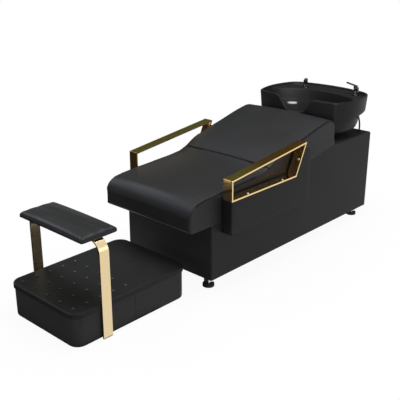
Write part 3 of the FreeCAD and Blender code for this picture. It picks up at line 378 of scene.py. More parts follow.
# %% Gold, chrome and zinc
def polished(name, colour, low, high, cloud):
    finish = Finish(name, metallic=1.0)
    clouds = finish.noise(cloud, detail=5.0, roughness=0.6)
    wipe = finish.noise(cloud * 9)
    pale = tuple(min(1.0, value * 1.04) for value in colour[:3]) + (1.0,)
    return finish.surface(clouds, colour, pale, low + clouds * (high - low), wipe, 0.04, 0.2 * MM)


def zinc():
    finish = Finish("zinc_plate", metallic=1.0)
    crystals, spangle = finish.chips(90.0), finish.noise(400.0)
    return finish.surface(
        crystals, grey(0.52, 1.03), grey(0.66, 1.02), 0.28 + crystals * 0.2, spangle, 0.08, 0.1 * MM)


gold = polished("polished_gold", (0.87, 0.62, 0.29, 1.0), 0.07, 0.17, 9.0)
strap_gold = polished("brushed_gold", (0.76, 0.60, 0.36, 1.0), 0.10, 0.20, 9.0)
chrome = polished("polished_chrome", (0.62, 0.625, 0.64, 1.0), 0.04, 0.12, 25.0)
zinc_plate = zinc()
print("metals: gold, chrome and zinc")

# %% [markdown]
# ## Bowl, plastic, rubber and board
# The bowl is satin black, and a clear coat shows only where it gleams. The foot box is plastic with a
# spark-eroded grain, the tap and the spray are gloss black, rubber is nearly matt and holds dust, and the
# boards inside are pressed chips of wood.


# %% Bowl glaze
def glaze():
    finish = Finish("black_glaze", specular_ior_level=0.10, coat_roughness=0.05)
    waviness = finish.noise(40.0, detail=1.0)
    specks = finish.noise(900.0)
    inside = finish.node("ShaderNodeAttribute", {"attribute_name": "inside"}, output="Fac")
    finish.feed("Coat Weight", inside * (0.7 + waviness * 0.3))
    return finish.surface(
        specks, grey(0.010, 1.05), grey(0.015, 1.08), 0.40 + specks * 0.10, waviness, 0.02, 0.5 * MM)


def gloss_black():
    """The tap and the spray: moulded black, so clear that only bright edges show."""
    finish = Finish("gloss_black", specular_ior_level=0.5, coat_weight=0.5, coat_roughness=0.04)
    wear = finish.noise(60.0, detail=4.0)
    return finish.surface(
        wear, grey(0.005, 1.05), grey(0.009, 1.05), 0.10 + wear * 0.10, finish.noise(300.0), 0.02, 0.1 * MM)


# %% Plastic, rubber, board and hose
def satin_plastic(name, level, highlight_start=1.0, highlight_end=2.0):
    """Black plastic, painted pale between two heights as a painted highlight on the nubs' tops. The heights
    given here lie above the whole part.
    """
    finish = Finish(name, specular_ior_level=0.12)
    spark = finish.noise(1600.0, detail=3.0)
    scuffs = finish.noise(14.0, detail=6.0, roughness=0.7)
    height = finish.node("ShaderNodeSeparateXYZ", None, {0: finish.place()}, output="Z")
    # painted highlight: between the two heights the nubs' tops turn pale grey
    painted_highlight = finish.node(
        "ShaderNodeMapRange", None, {"Value": height, "From Min": highlight_start, "From Max": highlight_end})
    plain_tone = finish.blend(scuffs, grey(level * 0.8, 1.06), grey(level * 1.2, 1.06))
    return finish.surface(painted_highlight, plain_tone, grey(0.085, 1.02), 0.42 + scuffs * 0.14, spark, 0.25, 0.12 * MM)


def rubber():
    finish = Finish("black_rubber", specular_ior_level=0.3)
    dust = finish.noise(70.0, detail=5.0, roughness=0.65)
    skin = finish.noise(700.0, detail=3.0)
    return finish.surface(dust, grey(0.010), grey(0.026), 0.66 + dust * 0.22, skin, 0.3, 0.15 * MM)


def pressed_board():
    finish = Finish("pressed_board", specular_ior_level=0.25)
    chip = finish.chips(170.0)
    dark_chip, pale_chip = (0.30, 0.20, 0.11, 1.0), (0.56, 0.42, 0.27, 1.0)
    relief = chip + finish.noise(600.0) * 0.5
    return finish.surface(chip, dark_chip, pale_chip, 0.72 + chip * 0.15, relief, 0.3, 0.3 * MM)


def braided_sleeve():
    finish = Finish("braided_sleeve", specular_ior_level=0.35)
    pitch = 2.2 * MM
    slanted, rings = finish.wave("DIAGONAL", 0.31 / pitch), finish.wave("Z", 0.31 / pitch)
    braid = finish.node("ShaderNodeMath", {"operation": "MAXIMUM"}, {0: slanted, 1: rings})
    return finish.surface(braid, grey(0.006), grey(0.022), 0.6 - braid * 0.15, braid, 0.5, 0.4 * MM)


black_glaze = glaze()
tap_black = gloss_black()
lid_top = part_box("foot_box_lid")[1].z
# the top of each nub, this deep, gets the painted highlight
nub_highlight_depth = 3.5 * MM
box_plastic = satin_plastic("satin_plastic", 0.013, lid_top - nub_highlight_depth, lid_top)
# the lid's plastic painted twice as light, as painted light on the box's sides
skirt_plastic = satin_plastic("skirt_plastic", 0.026)
black_rubber = rubber()
carcass_board = pressed_board()
hose_sleeve = braided_sleeve()
print("glaze, plastic, rubber, board and hose sleeve")

# %% [markdown]
# ## Finish for each engineering node
# Most rigid pieces already have their true shape, so they keep it and only take a material. The record names
# a material slot for each node, and one table turns slots into finishes. The box's skirt, the strap and the
# black fittings take a second finish of their slot. The skirt's is the lid's plastic painted twice as light,
# as painted light on the box's sides.

# %% Paint the nodes
finishes = {
    "covered_board": board_leather, "black_leather": cushion_leather, "carcass_board": carcass_board,
    "polished_gold": gold, "zinc_steel": zinc_plate, "chrome": chrome, "black_rubber": black_rubber,
    "black_glaze": black_glaze, "black_plastic": box_plastic}
slot_of = {entry["node"]: entry["material_slot"] for entry in frame["record"]["subparts"]}
body_of = {node: body for body, members in frame["record"]["behaviour"]["bodies"].items() for node in members}
for name, obj in nodes.items():
    obj.data.materials.clear()
    obj.data.materials.append(finishes[slot_of[name]])
for name in ("foot_box_front_shell", "foot_box_rear_shell"):
    nodes[name].data.materials[0] = skirt_plastic
nodes["foot_strap"].data.materials[0] = strap_gold
for name in ("mixer_body", "mixer_cap", "mixer_lever", "spray_socket", "spray_body"):
    nodes[name].data.materials[0] = tap_black
used = {obj.data.materials[0].name for obj in nodes.values()}
print("painted:", len(nodes), "nodes with", len(used), "finishes")

# %% [markdown]
# ## Mesh helpers
# A finished piece starts as a copy of its node's mesh with the doubled corners merged. `plain` turns live
# modifiers into ordinary mesh, and `settle` gives the piece its material and hides the nodes it replaces.


# %% Copy, apply and settle
def merged_copy(node, name):
    mesh = nodes[node].data.copy()
    mesh.name = name
    work = bmesh.new()
    work.from_mesh(mesh)
    bmesh.ops.remove_doubles(work, verts=work.verts, dist=0.02 * MM)
    work.to_mesh(mesh)
    work.free()
    stored = mesh.attributes.get("custom_normal")
    if stored is not None:
        mesh.attributes.remove(stored)
    return placed(name, mesh)


def plain(obj):
    """Replaces a piece's mesh by what its modifiers make of it, and removes them."""
    graph = bpy.context.evaluated_depsgraph_get()
    mesh = bpy.data.meshes.new_from_object(obj.evaluated_get(graph), depsgraph=graph)
    mesh.name = obj.name
    obj.modifiers.clear()
    obj.data = mesh
    return obj


def smooth_shaded(obj, sharp_above):
    obj.data.polygons.foreach_set("use_smooth", [True] * len(obj.data.polygons))
    obj.data.set_sharp_from_angle(angle=math.radians(sharp_above))
    return obj


def settle(obj, *replaced, material=None):
    obj.data.materials.clear()
    obj.data.materials.append(material or nodes[replaced[0]].data.materials[0])
    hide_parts(*replaced)
    return obj


def read_vectors(items, key):
    flat = np.empty(len(items) * 3)
    items.foreach_get(key, flat)
    return flat.reshape(-1, 3)


def coordinates(mesh):
    return read_vectors(mesh.vertices, "co")


def vertex_normals(mesh):
    return read_vectors(mesh.vertex_normals, "vector")


def move_points(mesh, points):
    mesh.vertices.foreach_set("co", np.ascontiguousarray(points).ravel())
    mesh.update()


def mark(mesh, name, values):
    """Stores a number at each point, or keeps the number there if it is larger."""
    attribute = mesh.attributes.get(name) or mesh.attributes.new(name, "FLOAT", "POINT")
    known = np.empty(len(values), dtype=np.float32)
    attribute.data.foreach_get("value", known)
    attribute.data.foreach_set("value", np.maximum(known, values).astype(np.float32))


def ray_tree(mesh):
    """A tree that finds where rays meet a mesh."""
    return BVHTree.FromPolygons(
        [tuple(vertex.co) for vertex in mesh.vertices], [tuple(face.vertices) for face in mesh.polygons])


print("helpers: merged_copy, plain, smooth_shaded, settle, mark and ray_tree")

# %% [markdown]
# ## Stuffed pieces
# A cushion is a cover filled with foam. Modelling the swell by hand gives a pillow that looks inflated, so
# Blender's cloth does it: the solid is remeshed to an even skin, shrunk a little, and blown up with pressure
# while the faces that rest on boards are held. No point may move further than a cap, ripples are averaged
# out, and nothing may cross the planes where a neighbour begins.


# %% Remesh and blow up
cloth_frames, calm_rounds = 20, 30


def even_skin(obj, voxel):
    remesh = obj.modifiers.new("even_skin", "REMESH")
    remesh.mode = "VOXEL"
    remesh.voxel_size = voxel
    remesh.use_smooth_shade = True
    return plain(obj)


def blow_up(obj, held, pressure, cap):
    start = coordinates(obj.data)
    group = obj.vertex_groups.new(name="held")
    group.add([int(index) for index in np.nonzero(held)[0]], 1.0, "REPLACE")
    cloth = obj.modifiers.new("stuffing", "CLOTH")
    settings = cloth.settings
    settings.quality = 4
    settings.mass = 0.4
    settings.tension_stiffness = 22
    settings.compression_stiffness = 22
    settings.shear_stiffness = 12
    settings.bending_stiffness = 4
    settings.use_pressure = True
    settings.uniform_pressure_force = pressure
    settings.vertex_group_mass = "held"
    settings.effector_weights.gravity = 0
    cloth.collision_settings.use_collision = False
    cloth.point_cache.frame_start, cloth.point_cache.frame_end = 1, cloth_frames
    for step in range(1, cloth_frames + 1):
        scene.frame_set(step)
    plain(obj)
    obj.vertex_groups.clear()
    moved = coordinates(obj.data) - start
    far = np.linalg.norm(moved, axis=1, keepdims=True)
    move_points(obj.data, start + moved * np.minimum(1.0, cap / np.maximum(far, 1e-9)))
    scene.frame_set(1)
    return float(far.max())


def calmed(mesh, moves, rounds):
    """The moves again, each averaged with its neighbours', so that the cover swells without ripples."""
    edges = np.empty(len(mesh.edges) * 2, dtype=np.int64)
    mesh.edges.foreach_get("vertices", edges)
    edges = edges.reshape(-1, 2)
    count = np.bincount(edges.ravel(), minlength=len(moves))[:, None]
    for step in range(rounds):
        total = np.zeros_like(moves)
        np.add.at(total, edges[:, 0], moves[edges[:, 1]])
        np.add.at(total, edges[:, 1], moves[edges[:, 0]])
        moves = (moves + total / np.maximum(count, 1)) / 2
    return moves


def stuffed(node, voxel, held, limits, shrink, pressure, cap):
    """A soft copy of a node. `held` picks the points that rest on something, `limits` clips the rest."""
    obj = even_skin(merged_copy(node, node + "_cover"), voxel)
    points, normals = coordinates(obj.data), vertex_normals(obj.data)
    fixed = held(points, normals)
    move_points(obj.data, points - normals * np.where(fixed, 0.0, shrink)[:, None])
    swell = blow_up(obj, fixed, pressure, cap)
    moves = calmed(obj.data, coordinates(obj.data) - points, calm_rounds)
    move_points(obj.data, limits(points + moves))
    print(obj.name, len(obj.data.vertices), "points,", int(fixed.sum()), "held, swelled",
          round(swell / MM, 1), "mm before the cap")
    return obj


# %% [markdown]
# ## Seams
# The wrapped top panel of each cushion is sewn to its side panels along the edge. Where two panels are sewn
# the foam is pulled in, so the seam is a narrow valley with small puckers across it. Rays cast at the
# corner from outside find the line of the seam on the finished cushion, and points near it are drawn in.


# %% Find a seam and draw it in
def edge_line(obj, side, profile):
    """Points where the cushion's side meets its wrapped panel. `profile` gives places and outward ways."""
    tree = ray_tree(obj.data)
    sideways = Vector((side, 0, 0))
    reach = 60 * MM
    line = []
    for place, outward in profile:
        hit = tree.ray_cast(place + (outward + sideways) * reach, -(outward + sideways).normalized())[0]
        if hit is not None:
            line.append(hit)
    return line


def evened(line, step):
    """The line's points again, a fixed step apart."""
    found = [line[0]]
    spare = 0.0
    for first, last in zip(line, line[1:]):
        length = (last - first).length
        along = step - spare
        while along <= length:
            found.append(first.lerp(last, along / length))
            along += step
        spare = length - (along - step)
    return found


def draw_in(obj, lines, depth, width, pucker, pucker_pitch):
    """Draws a cover in along its seam lines, with small puckers, and paints shade along the valley."""
    mesh = obj.data
    step = 1.5 * MM
    stops = [(point, index * step) for line in lines for index, point in enumerate(evened(line, step))]
    finder = kdtree.KDTree(len(stops))
    for index, stop in enumerate(stops):
        finder.insert(stop[0], index)
    finder.balance()
    points, normals = coordinates(mesh), vertex_normals(mesh)
    painted_shade = np.zeros(len(points))
    reach = 5 * width
    for index, point in enumerate(points):
        nearest, distance = finder.find(point)[1:]
        if distance > reach:
            continue
        valley = math.exp(-(distance / width) ** 2)
        run = stops[nearest][1]
        ripple = math.sin(2 * math.pi * run / pucker_pitch) * math.exp(-(distance / (3 * width)) ** 2)
        points[index] -= normals[index] * (depth * valley + pucker * ripple)
        painted_shade[index] = valley
    move_points(mesh, points)
    # painted shade along the seam's valley
    mark(mesh, "painted_shade", painted_shade)


def finer(obj):
    divide = obj.modifiers.new("finer", "SUBSURF")
    divide.levels = divide.render_levels = 1
    return plain(obj)


print("seam helpers: edge_line, evened, draw_in and finer")

# %% [markdown]
# ## Seat and back cushions
# The seat's top panel wraps over its front edge, and the back's over its high end. Both cushions lie
# against the arm blocks and meet in the crease, so their sides, undersides and meeting faces are clipped
# there. Their hems are tucked behind the edge of the boards, so that no gap shows between cover and carcass.

# %% Seat cushion
seat_low, seat_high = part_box("seat_cushion")
back_low, back_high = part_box("back_cushion")
chair_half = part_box("right_side_panel")[1].x
carcass_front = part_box("front_panel")[0].y
soft_gap = 0.3 * MM
big_voxel = 7 * MM
rest_zone, crease_zone = 3 * MM, 10 * MM         # points this near a board or the crease are held
tuck, tuck_zone = 5 * MM, 6 * MM                 # a cushion's hem goes this far down behind the panel's edge
crease_low = seat_high.z - 30 * MM               # below this the two cushions press together
plain_nose, full_nose = 36 * MM, 64 * MM         # the foam's front edge is rounder than the solid's
nose_foot, nose_rise = 40 * MM, 60 * MM
hem_round = 18 * MM                              # its lower front edge is rounded too
front_bulge = 3 * MM
flush_full, flush_end = 20 * MM, 50 * MM         # heights above the hem where a side is flush, and free
flush_reach, flush_start = 6 * MM, 40 * MM
wrap_inset, wrap_rays = 14 * MM, 90
seam_depth, seam_width, pucker, pucker_pitch = 2.0 * MM, 5.5 * MM, 0.2 * MM, 26 * MM
# how wide the painted shade along the cushions' fold is, and how far in from the sides it fades
crease_width, crease_end = 7 * MM, 25 * MM


def profile_at(obj, x, centre, first_degree, last_degree, count):
    """Places and outward ways round a cushion's section, seen from inside it along rays."""
    tree = ray_tree(obj.data)
    found = []
    for index in range(count):
        angle = math.radians(first_degree + (last_degree - first_degree) * index / (count - 1))
        way = Vector((0, -math.cos(angle), math.sin(angle)))
        hit, normal = tree.ray_cast(Vector((x, centre.y, centre.z)), way)[:2]
        if hit is not None:
            outward = Vector((0, normal.y, normal.z)).normalized()
            found.append((Vector((0, hit.y, hit.z)), outward))
    return found


def flush(points, hem_height):
    """Brings a cushion's sides level with the panels below it, so that no step shows there."""
    level = chair_half - soft_gap
    height = points[:, 2] - hem_height
    share = np.clip((flush_end - height) / (flush_end - flush_full), 0.0, 1.0)
    share *= np.abs(points[:, 0]) > level - flush_reach
    share *= np.clip((points[:, 1] - carcass_front) / flush_start, 0.0, 1.0)
    points[:, 0] += np.sign(points[:, 0]) * share * (level - np.abs(points[:, 0]))


def flat_sided(points, normals):
    return (np.abs(normals[:, 0]) > 0.8) & (np.abs(points[:, 0]) > chair_half - rest_zone)


def seat_held(points, normals):
    under = points[:, 2] < seat_low.z + rest_zone
    in_crease = points[:, 1] > seat_high.y - crease_zone
    return under | in_crease | flat_sided(points, normals)


def quarter_round(reach, radius):
    """How far a rounded edge lies below the flat, at a reach from its front."""
    inward = np.clip(radius - reach, 0.0, radius)
    return radius - np.sqrt(radius ** 2 - inward ** 2)


def seat_limits(points):
    points[:, 0] = np.clip(points[:, 0], -chair_half, chair_half)
    points[:, 1] = np.clip(points[:, 1], seat_low.y - front_bulge, seat_high.y)
    points[:, 2] = np.maximum(points[:, 2], seat_low.z)
    reach = np.maximum(points[:, 1] - seat_low.y, 0.0)
    fuller = quarter_round(reach, full_nose) - quarter_round(reach, plain_nose)
    points[:, 2] -= fuller * np.clip((points[:, 2] - seat_low.z - nose_foot) / nose_rise, 0.0, 1.0)
    corner = np.array((seat_low.y, seat_low.z)) + hem_round
    from_corner = np.maximum(corner - points[:, 1:], 0.0)
    pull = hem_round / np.maximum(np.linalg.norm(from_corner, axis=1, keepdims=True), hem_round)
    points[:, 1:] += from_corner * (1 - pull)
    flush(points, seat_low.z)
    hem = (points[:, 2] < seat_low.z + tuck_zone) & (points[:, 1] > carcass_front + tuck)
    points[hem, 2] -= tuck
    pressed = (points[:, 1] > seat_high.y - tuck_zone) & (points[:, 2] < crease_low)
    points[pressed, 1] += tuck
    return points


def sewn(obj, low, high, rise, first_degree, last_degree):
    """Refines a cushion, draws in a seam on either side, and gives the seams' lines."""
    finer(obj)
    inside = Vector((0, (low.y + high.y) / 2, low.z + rise))
    lines = []
    for side in (-1, 1):
        wrap = profile_at(obj, side * (chair_half - wrap_inset), inside, first_degree, last_degree, wrap_rays)
        beside = [(place + Vector((side * chair_half, 0, 0)), outward) for place, outward in wrap]
        lines.append(edge_line(obj, side, beside))
    draw_in(obj, lines, seam_depth, seam_width, pucker, pucker_pitch)
    print(obj.name, "seams of", [len(line) for line in lines], "points")
    return lines


def painted_crease_shade(points, distance):
    """Painted shade along the fold where the cushions meet, fading out towards the cushion's sides, where the
    fold is pressed shut.
    """
    middle = np.clip((chair_half - np.abs(points[:, 0])) / crease_end, 0.0, 1.0)
    return np.exp(-(distance / crease_width) ** 2) * middle


seat = stuffed("seat_cushion", big_voxel, seat_held, seat_limits, 1.0 * MM, 4.0, 3.5 * MM)
seat_lines = sewn(seat, seat_low, seat_high, 70 * MM, 14, 152)
seat_points = coordinates(seat.data)
# painted shade along the fold where seat and back meet
seat_painted_shade = painted_crease_shade(seat_points, seat_high.y - seat_points[:, 1])
mark(seat.data, "painted_shade", np.where(seat_points[:, 2] > crease_low, seat_painted_shade, 0.0))
settle(smooth_shaded(seat, 60), "seat_cushion")
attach(seat, "chair")

# %% Back cushion
back_board_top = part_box("back_board")[1].z


def back_floor(y):
    share = (y - back_low.y) / (back_high.y - back_low.y)
    return back_low.z + share * (back_board_top + soft_gap - back_low.z)


def back_held(points, normals):
    under = points[:, 2] < back_floor(points[:, 1]) + rest_zone
    in_crease = points[:, 1] < back_low.y + crease_zone
    return under | in_crease | flat_sided(points, normals)


def back_limits(points):
    points[:, 0] = np.clip(points[:, 0], -chair_half, chair_half)
    points[:, 1] = np.clip(points[:, 1], back_low.y, back_high.y)
    points[:, 2] = np.maximum(points[:, 2], back_floor(points[:, 1]))
    flush(points, back_floor(points[:, 1]))
    hem = points[:, 2] < back_floor(points[:, 1]) + tuck_zone
    points[hem, 2] -= tuck
    pressed = (points[:, 1] < back_low.y + tuck_zone) & (points[:, 2] < crease_low)
    points[pressed, 1] -= tuck
    return points


back = stuffed("back_cushion", big_voxel, back_held, back_limits, 1.0 * MM, 4.0, 3.0 * MM)
back_lines = sewn(back, back_low, back_high, 90 * MM, 22, 160)
back_points = coordinates(back.data)
# painted shade along the fold where back and seat meet
mark(back.data, "painted_shade", painted_crease_shade(back_points, back_points[:, 1] - back_low.y))
settle(smooth_shaded(back, 60), "back_cushion")
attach(back, "chair")

# %% [markdown]
# ## Arm blocks and foot pad
# The arm blocks are firm pads: only their outer face swells, and the faces that carry the frame
# stay flat. The foot pad is a small crowned cushion on a board.


# %% Arm blocks
edge_width, most_painted_shade = 5 * MM, 0.75      # a block's lower and rear edges get painted shade this far, at most this share
face_zone, face_bulge = 2 * MM, 0.8 * MM   # the outer face is free to swell, up to the bulge
small_voxel = 4 * MM


def arm_block(node):
    low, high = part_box(node)
    outer = max(abs(low.x), abs(high.x))

    def held(points, normals):
        return np.abs(points[:, 0]) < outer - face_zone

    def limits(points):
        points[:, 0] = np.clip(points[:, 0], -outer - face_bulge, outer + face_bulge)
        return points

    obj = stuffed(node, small_voxel, held, limits, 0.0, 3.0, 1 * MM)
    points = coordinates(obj.data)
    # painted shade along the block's lower and rear edges
    painted_edge_shade = np.maximum(low.z + edge_width - points[:, 2], points[:, 1] - high.y + edge_width) / edge_width
    mark(obj.data, "painted_shade", np.clip(painted_edge_shade, 0.0, most_painted_shade))
    settle(smooth_shaded(obj, 60), node, material=board_leather)
    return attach(obj, "chair")


for node in ("right_arm_block", "left_arm_block"):
    arm_block(node)

# %% Foot pad
pad_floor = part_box("foot_pad")[0].z


def pad_held(points, normals):
    return points[:, 2] < pad_floor + rest_zone


def pad_limits(points):
    points[:, 2] = np.maximum(points[:, 2], pad_floor)
    return points


pad = stuffed("foot_pad", small_voxel, pad_held, pad_limits, 1 * MM, 4.0, 2 * MM)
pad_points = coordinates(pad.data)
resting = pad_held(pad_points, None)[:, None]
pad_calm = calmed(pad.data, pad_points, calm_rounds)
outline_rounds = 3                         # few, so that the pad keeps its outline
pad_calm[:, :2] = calmed(pad.data, pad_points, outline_rounds)[:, :2]
move_points(pad.data, np.where(resting, pad_points, pad_calm))
settle(smooth_shaded(finer(pad), 60), "foot_pad")
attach(pad, "foot_unit")

# %% [markdown]
# ## Gold frames and strap
# Bar stock has softly broken edges, and on polished metal those edges carry the brightest lines. A copy
# of each bar gets a narrow bevel, and every edge steeper than a bend's facets is shaded sharp, so that flat
# faces stay truly flat. The strap's bend shows a white band, so a pale card hangs where the bend mirrors to.


# %% Break the edges
def broken_edges(node, width, segments=2):
    obj = merged_copy(node, node + "_bar")
    work = bmesh.new()
    work.from_mesh(obj.data)
    bmesh.ops.dissolve_limit(work, angle_limit=math.radians(0.5), verts=work.verts, edges=work.edges)
    work.to_mesh(obj.data)
    work.free()
    bevel = obj.modifiers.new("broken_edge", "BEVEL")
    bevel.width = width
    bevel.segments = segments
    bevel.limit_method = "ANGLE"
    bevel.angle_limit = math.radians(40)
    plain(obj)
    settle(smooth_shaded(obj, 18), node)
    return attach(obj, body_of[node])


bars = {node: broken_edges(node, 0.5 * MM) for node in ("right_arm_frame", "left_arm_frame", "foot_strap")}
share_light(front_left, "EXCLUDE", bars["right_arm_frame"], bars["left_arm_frame"])
print("bars:", {node: len(bar.data.polygons) for node, bar in bars.items()}, "faces")
strap_low, strap_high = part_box("foot_strap")
bend_drop, bend_lift = 45 * MM, math.radians(22)     # the band's depth below the top, and how far up it looks
bend_place = Vector((strap_high.x, (strap_low.y + strap_high.y) / 2, strap_high.z - bend_drop))
bend_face = Vector((math.cos(bend_lift), 0.0, math.sin(bend_lift)))
to_camera = (camera_place - bend_place).normalized()
bend_way = 2 * to_camera.dot(bend_face) * bend_face - to_camera
bend_side = bend_way.cross(up).normalized()
bend_rise = bend_side.cross(bend_way)
bend_distance, bend_half, bend_tall, bend_light = 2.5, 0.25, 0.45, 1.8
bend_card = flag("bend_card", card_corners(
    bend_place + bend_way * bend_distance, bend_side * bend_half, bend_rise * bend_tall), grey(bend_light))
share_light(bend_card, "INCLUDE", bars["foot_strap"])
stems = [corner + "_foot_stem" for corner in ("front_left", "front_right", "rear_left", "rear_right")]
for node in ["mixer_lever", "mixer_body", "spray_socket"] + stems:
    fitting = broken_edges(node, 0.7 * MM, 3)
    print(fitting.name, len(fitting.data.polygons), "faces")

# %% [markdown]
# ## Bowl
# The bowl is one moulded shell, and no edge on it is sharp: its rim and the neck rest roll over into
# a soft lip. Bevelling so many meeting curves by hand would fail, so the solid is remeshed evenly and
# relaxed, which rounds every edge by the same few millimetres. The basin shows one white gleam in the notch:
# a ray from the camera finds that place, and a bright card hangs where the place mirrors to.

# %% Moulded shell
bowl = even_skin(merged_copy("bowl", "bowl_shell"), 3.5 * MM)
relax = bowl.modifiers.new("relax", "SMOOTH")
relax.factor = 0.5
relax.iterations = 10
plain(bowl)
picture_side = 400
focal = camera.data.lens / camera.data.sensor_width * picture_side
camera_up = across.cross(looking)


def sight(column, row):
    """The way from the camera through a place in the picture."""
    return (looking + across * ((column - picture_side / 2) / focal)
            - camera_up * ((row - picture_side / 2) / focal)).normalized()


gleam_column, gleam_row = 292.8, 102.6
gleam_way = sight(gleam_column, gleam_row)
gleam, gleam_normal = ray_tree(bowl.data).ray_cast(camera_place, gleam_way)[:2]
shell_points = coordinates(bowl.data)
lens_half, lens_rise = 40 * MM, 8.5 * MM
from_gleam = (shell_points - np.array(gleam)) / np.array((lens_half, lens_half, lens_rise))
inside_share = np.clip(2.0 - 2.0 * np.linalg.norm(from_gleam, axis=1), 0.0, 1.0)
mark(bowl.data, "inside", inside_share)
settle(smooth_shaded(bowl, 80), "bowl")
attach(bowl, "bowl")
print("bowl:", len(bowl.data.polygons), "faces")

# %% Card for the gleam in the basin
mirrored_way = gleam_way - 2 * gleam_way.dot(gleam_normal) * gleam_normal
card_side = mirrored_way.cross(up).normalized()
card_rise = card_side.cross(mirrored_way)
gleam_distance, gleam_half, gleam_rise, gleam_light = 4.0, 2.2, 0.5, 18.0
gleam_middle = gleam + mirrored_way * gleam_distance
gleam_card = flag("gleam_card", card_corners(
    gleam_middle, card_side * gleam_half, card_rise * gleam_rise), grey(gleam_light))
share_light(gleam_card, "INCLUDE", bowl)
print("gleam at", tuple(round(value, 3) for value in gleam), "card at",
      tuple(round(value, 2) for value in gleam_middle))

# %% [markdown]
# ## Hoses
# Two braided supply hoses and the waste hose join the fixed base to the bowl. When the bowl tilts they
# must bend. Here each is a smooth-shaded copy of its node, fixed where it stands.

# %% Hoses
cover_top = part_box("pedestal_cover")[1].z
waste_bend = 0.2            # height given for the waste hose
for node, low_z in (("hot_hose", cover_top), ("cold_hose", cover_top), ("waste_hose", waste_bend)):
    obj = smooth_shaded(merged_copy(node, node + "_tube"), 50)
    settle(obj, node, material=black_rubber if node == "waste_hose" else hose_sleeve)
    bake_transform(obj)

# %% [markdown]
# ## Screws
# Screws repeat, so one Geometry Nodes tree makes them all: a pan head with a hexagon socket on a shank, set
# on points that carry the way each screw faces. The places are measured from the engineering screws: a screw
# is slimmest round its axis, and the widest ring of its points is its head.


# %% Screw tree
def new_tree(name, inputs):
    """An empty geometry tree with named inputs. Gives its graph and its input links by name."""
    tree = bpy.data.node_groups.new(name, "GeometryNodeTree")
    tree.interface.new_socket(name="Geometry", in_out="OUTPUT", socket_type="NodeSocketGeometry")
    tree.interface.new_socket(name="Geometry", in_out="INPUT", socket_type="NodeSocketGeometry")
    for label, kind in inputs.items():
        tree.interface.new_socket(name=label, in_out="INPUT", socket_type=kind)
    graph = Graph(tree)
    entry = tree.nodes.new("NodeGroupInput")
    return graph, {socket.name: Link(graph, socket) for socket in entry.outputs if socket.name}


def end_tree(graph, geometry, material):
    real = graph.node("GeometryNodeRealizeInstances", None, {0: geometry})
    painted = graph.node("GeometryNodeSetMaterial", None, {"Geometry": real, "Material": material})
    leave = graph.tree.nodes.new("NodeGroupOutput")
    graph.set(leave.inputs[0], painted)
    return graph.tree


def moved_up(graph, geometry, height):
    offset = graph.node("ShaderNodeCombineXYZ", None, {"Z": height})
    return graph.node("GeometryNodeTransform", None, {"Geometry": geometry, "Translation": offset})


def screw_tree():
    length = "NodeSocketFloat"
    graph, given = new_tree("pan_screw", {
        "Head Radius": length, "Head Height": length, "Socket Radius": length, "Shank Radius": length,
        "Shank Length": length, "Material": "NodeSocketMaterial"})
    head = graph.node("GeometryNodeMeshCone", None, {
        "Vertices": 28, "Radius Top": given["Head Radius"] * 0.74, "Radius Bottom": given["Head Radius"],
        "Depth": given["Head Height"]})
    socket = graph.node("GeometryNodeMeshCylinder", None, {
        "Vertices": 6, "Radius": given["Socket Radius"], "Depth": given["Head Height"]})
    cut = graph.node("GeometryNodeMeshBoolean", {"operation": "DIFFERENCE"}, {
        "Mesh 1": head, "Mesh 2": moved_up(graph, socket, given["Head Height"] * 0.85)})
    shank = graph.node("GeometryNodeMeshCylinder", None, {
        "Vertices": 16, "Radius": given["Shank Radius"], "Depth": given["Shank Length"]})
    whole = graph.tree.nodes.new("GeometryNodeJoinGeometry")
    for piece in (cut, moved_up(graph, shank, given["Shank Length"] * -0.5)):
        graph.tree.links.new(piece.socket, whole.inputs[0])
    way = graph.node("GeometryNodeInputNamedAttribute", {"data_type": "FLOAT_VECTOR"}, {"Name": "way"})
    turn = graph.node("FunctionNodeAlignRotationToVector", {"axis": "Z"}, {"Vector": way})
    set_out = graph.node("GeometryNodeInstanceOnPoints", None, {
        "Points": given["Geometry"], "Instance": Link(graph, whole.outputs[0]), "Rotation": turn})
    return end_tree(graph, set_out, given["Material"])


def grown(obj, tree, values):
    """The mesh that a tree makes of an object, as a plain mesh."""
    modifier = obj.modifiers.new(tree.name, "NODES")
    modifier.node_group = tree
    for item in tree.interface.items_tree:
        if item.in_out == "INPUT" and item.name in values:
            modifier[item.identifier] = values[item.name]
    return plain(obj)


pan_screw = screw_tree()
print("screw tree:", len(pan_screw.nodes), "nodes")


# %% Set the screws
def islands(mesh):
    work = bmesh.new()
    work.from_mesh(mesh)
    left = set(work.verts)
    found = []
    while left:
        seed = [left.pop()]
        group = list(seed)
        while seed:
            for edge in seed.pop().link_edges:
                for vert in edge.verts:
                    if vert in left:
                        left.remove(vert)
                        seed.append(vert)
                        group.append(vert)
        found.append(np.array([tuple(vert.co) for vert in group]))
    work.free()
    return found


def screw_seat(points):
    """Seat of the head and the way it faces, from one engineering screw's points."""
    middle = (points.max(axis=0) + points.min(axis=0)) / 2
    spread = np.linalg.svd(points - points.mean(axis=0), full_matrices=False)[2]
    best = None
    for axis in spread:
        run = (points - middle) @ axis
        off = np.linalg.norm(points - middle - run[:, None] * axis, axis=1)
        rim = off > off.max() - 0.3 * MM
        if best is None or off.max() < best[0]:
            best = (off.max(), axis, float(run[rim].mean()), run)
    axis, seat, run = best[1:]
    way = axis * (1 if seat > (run.max() + run.min()) / 2 else -1)
    return middle + axis * seat, way


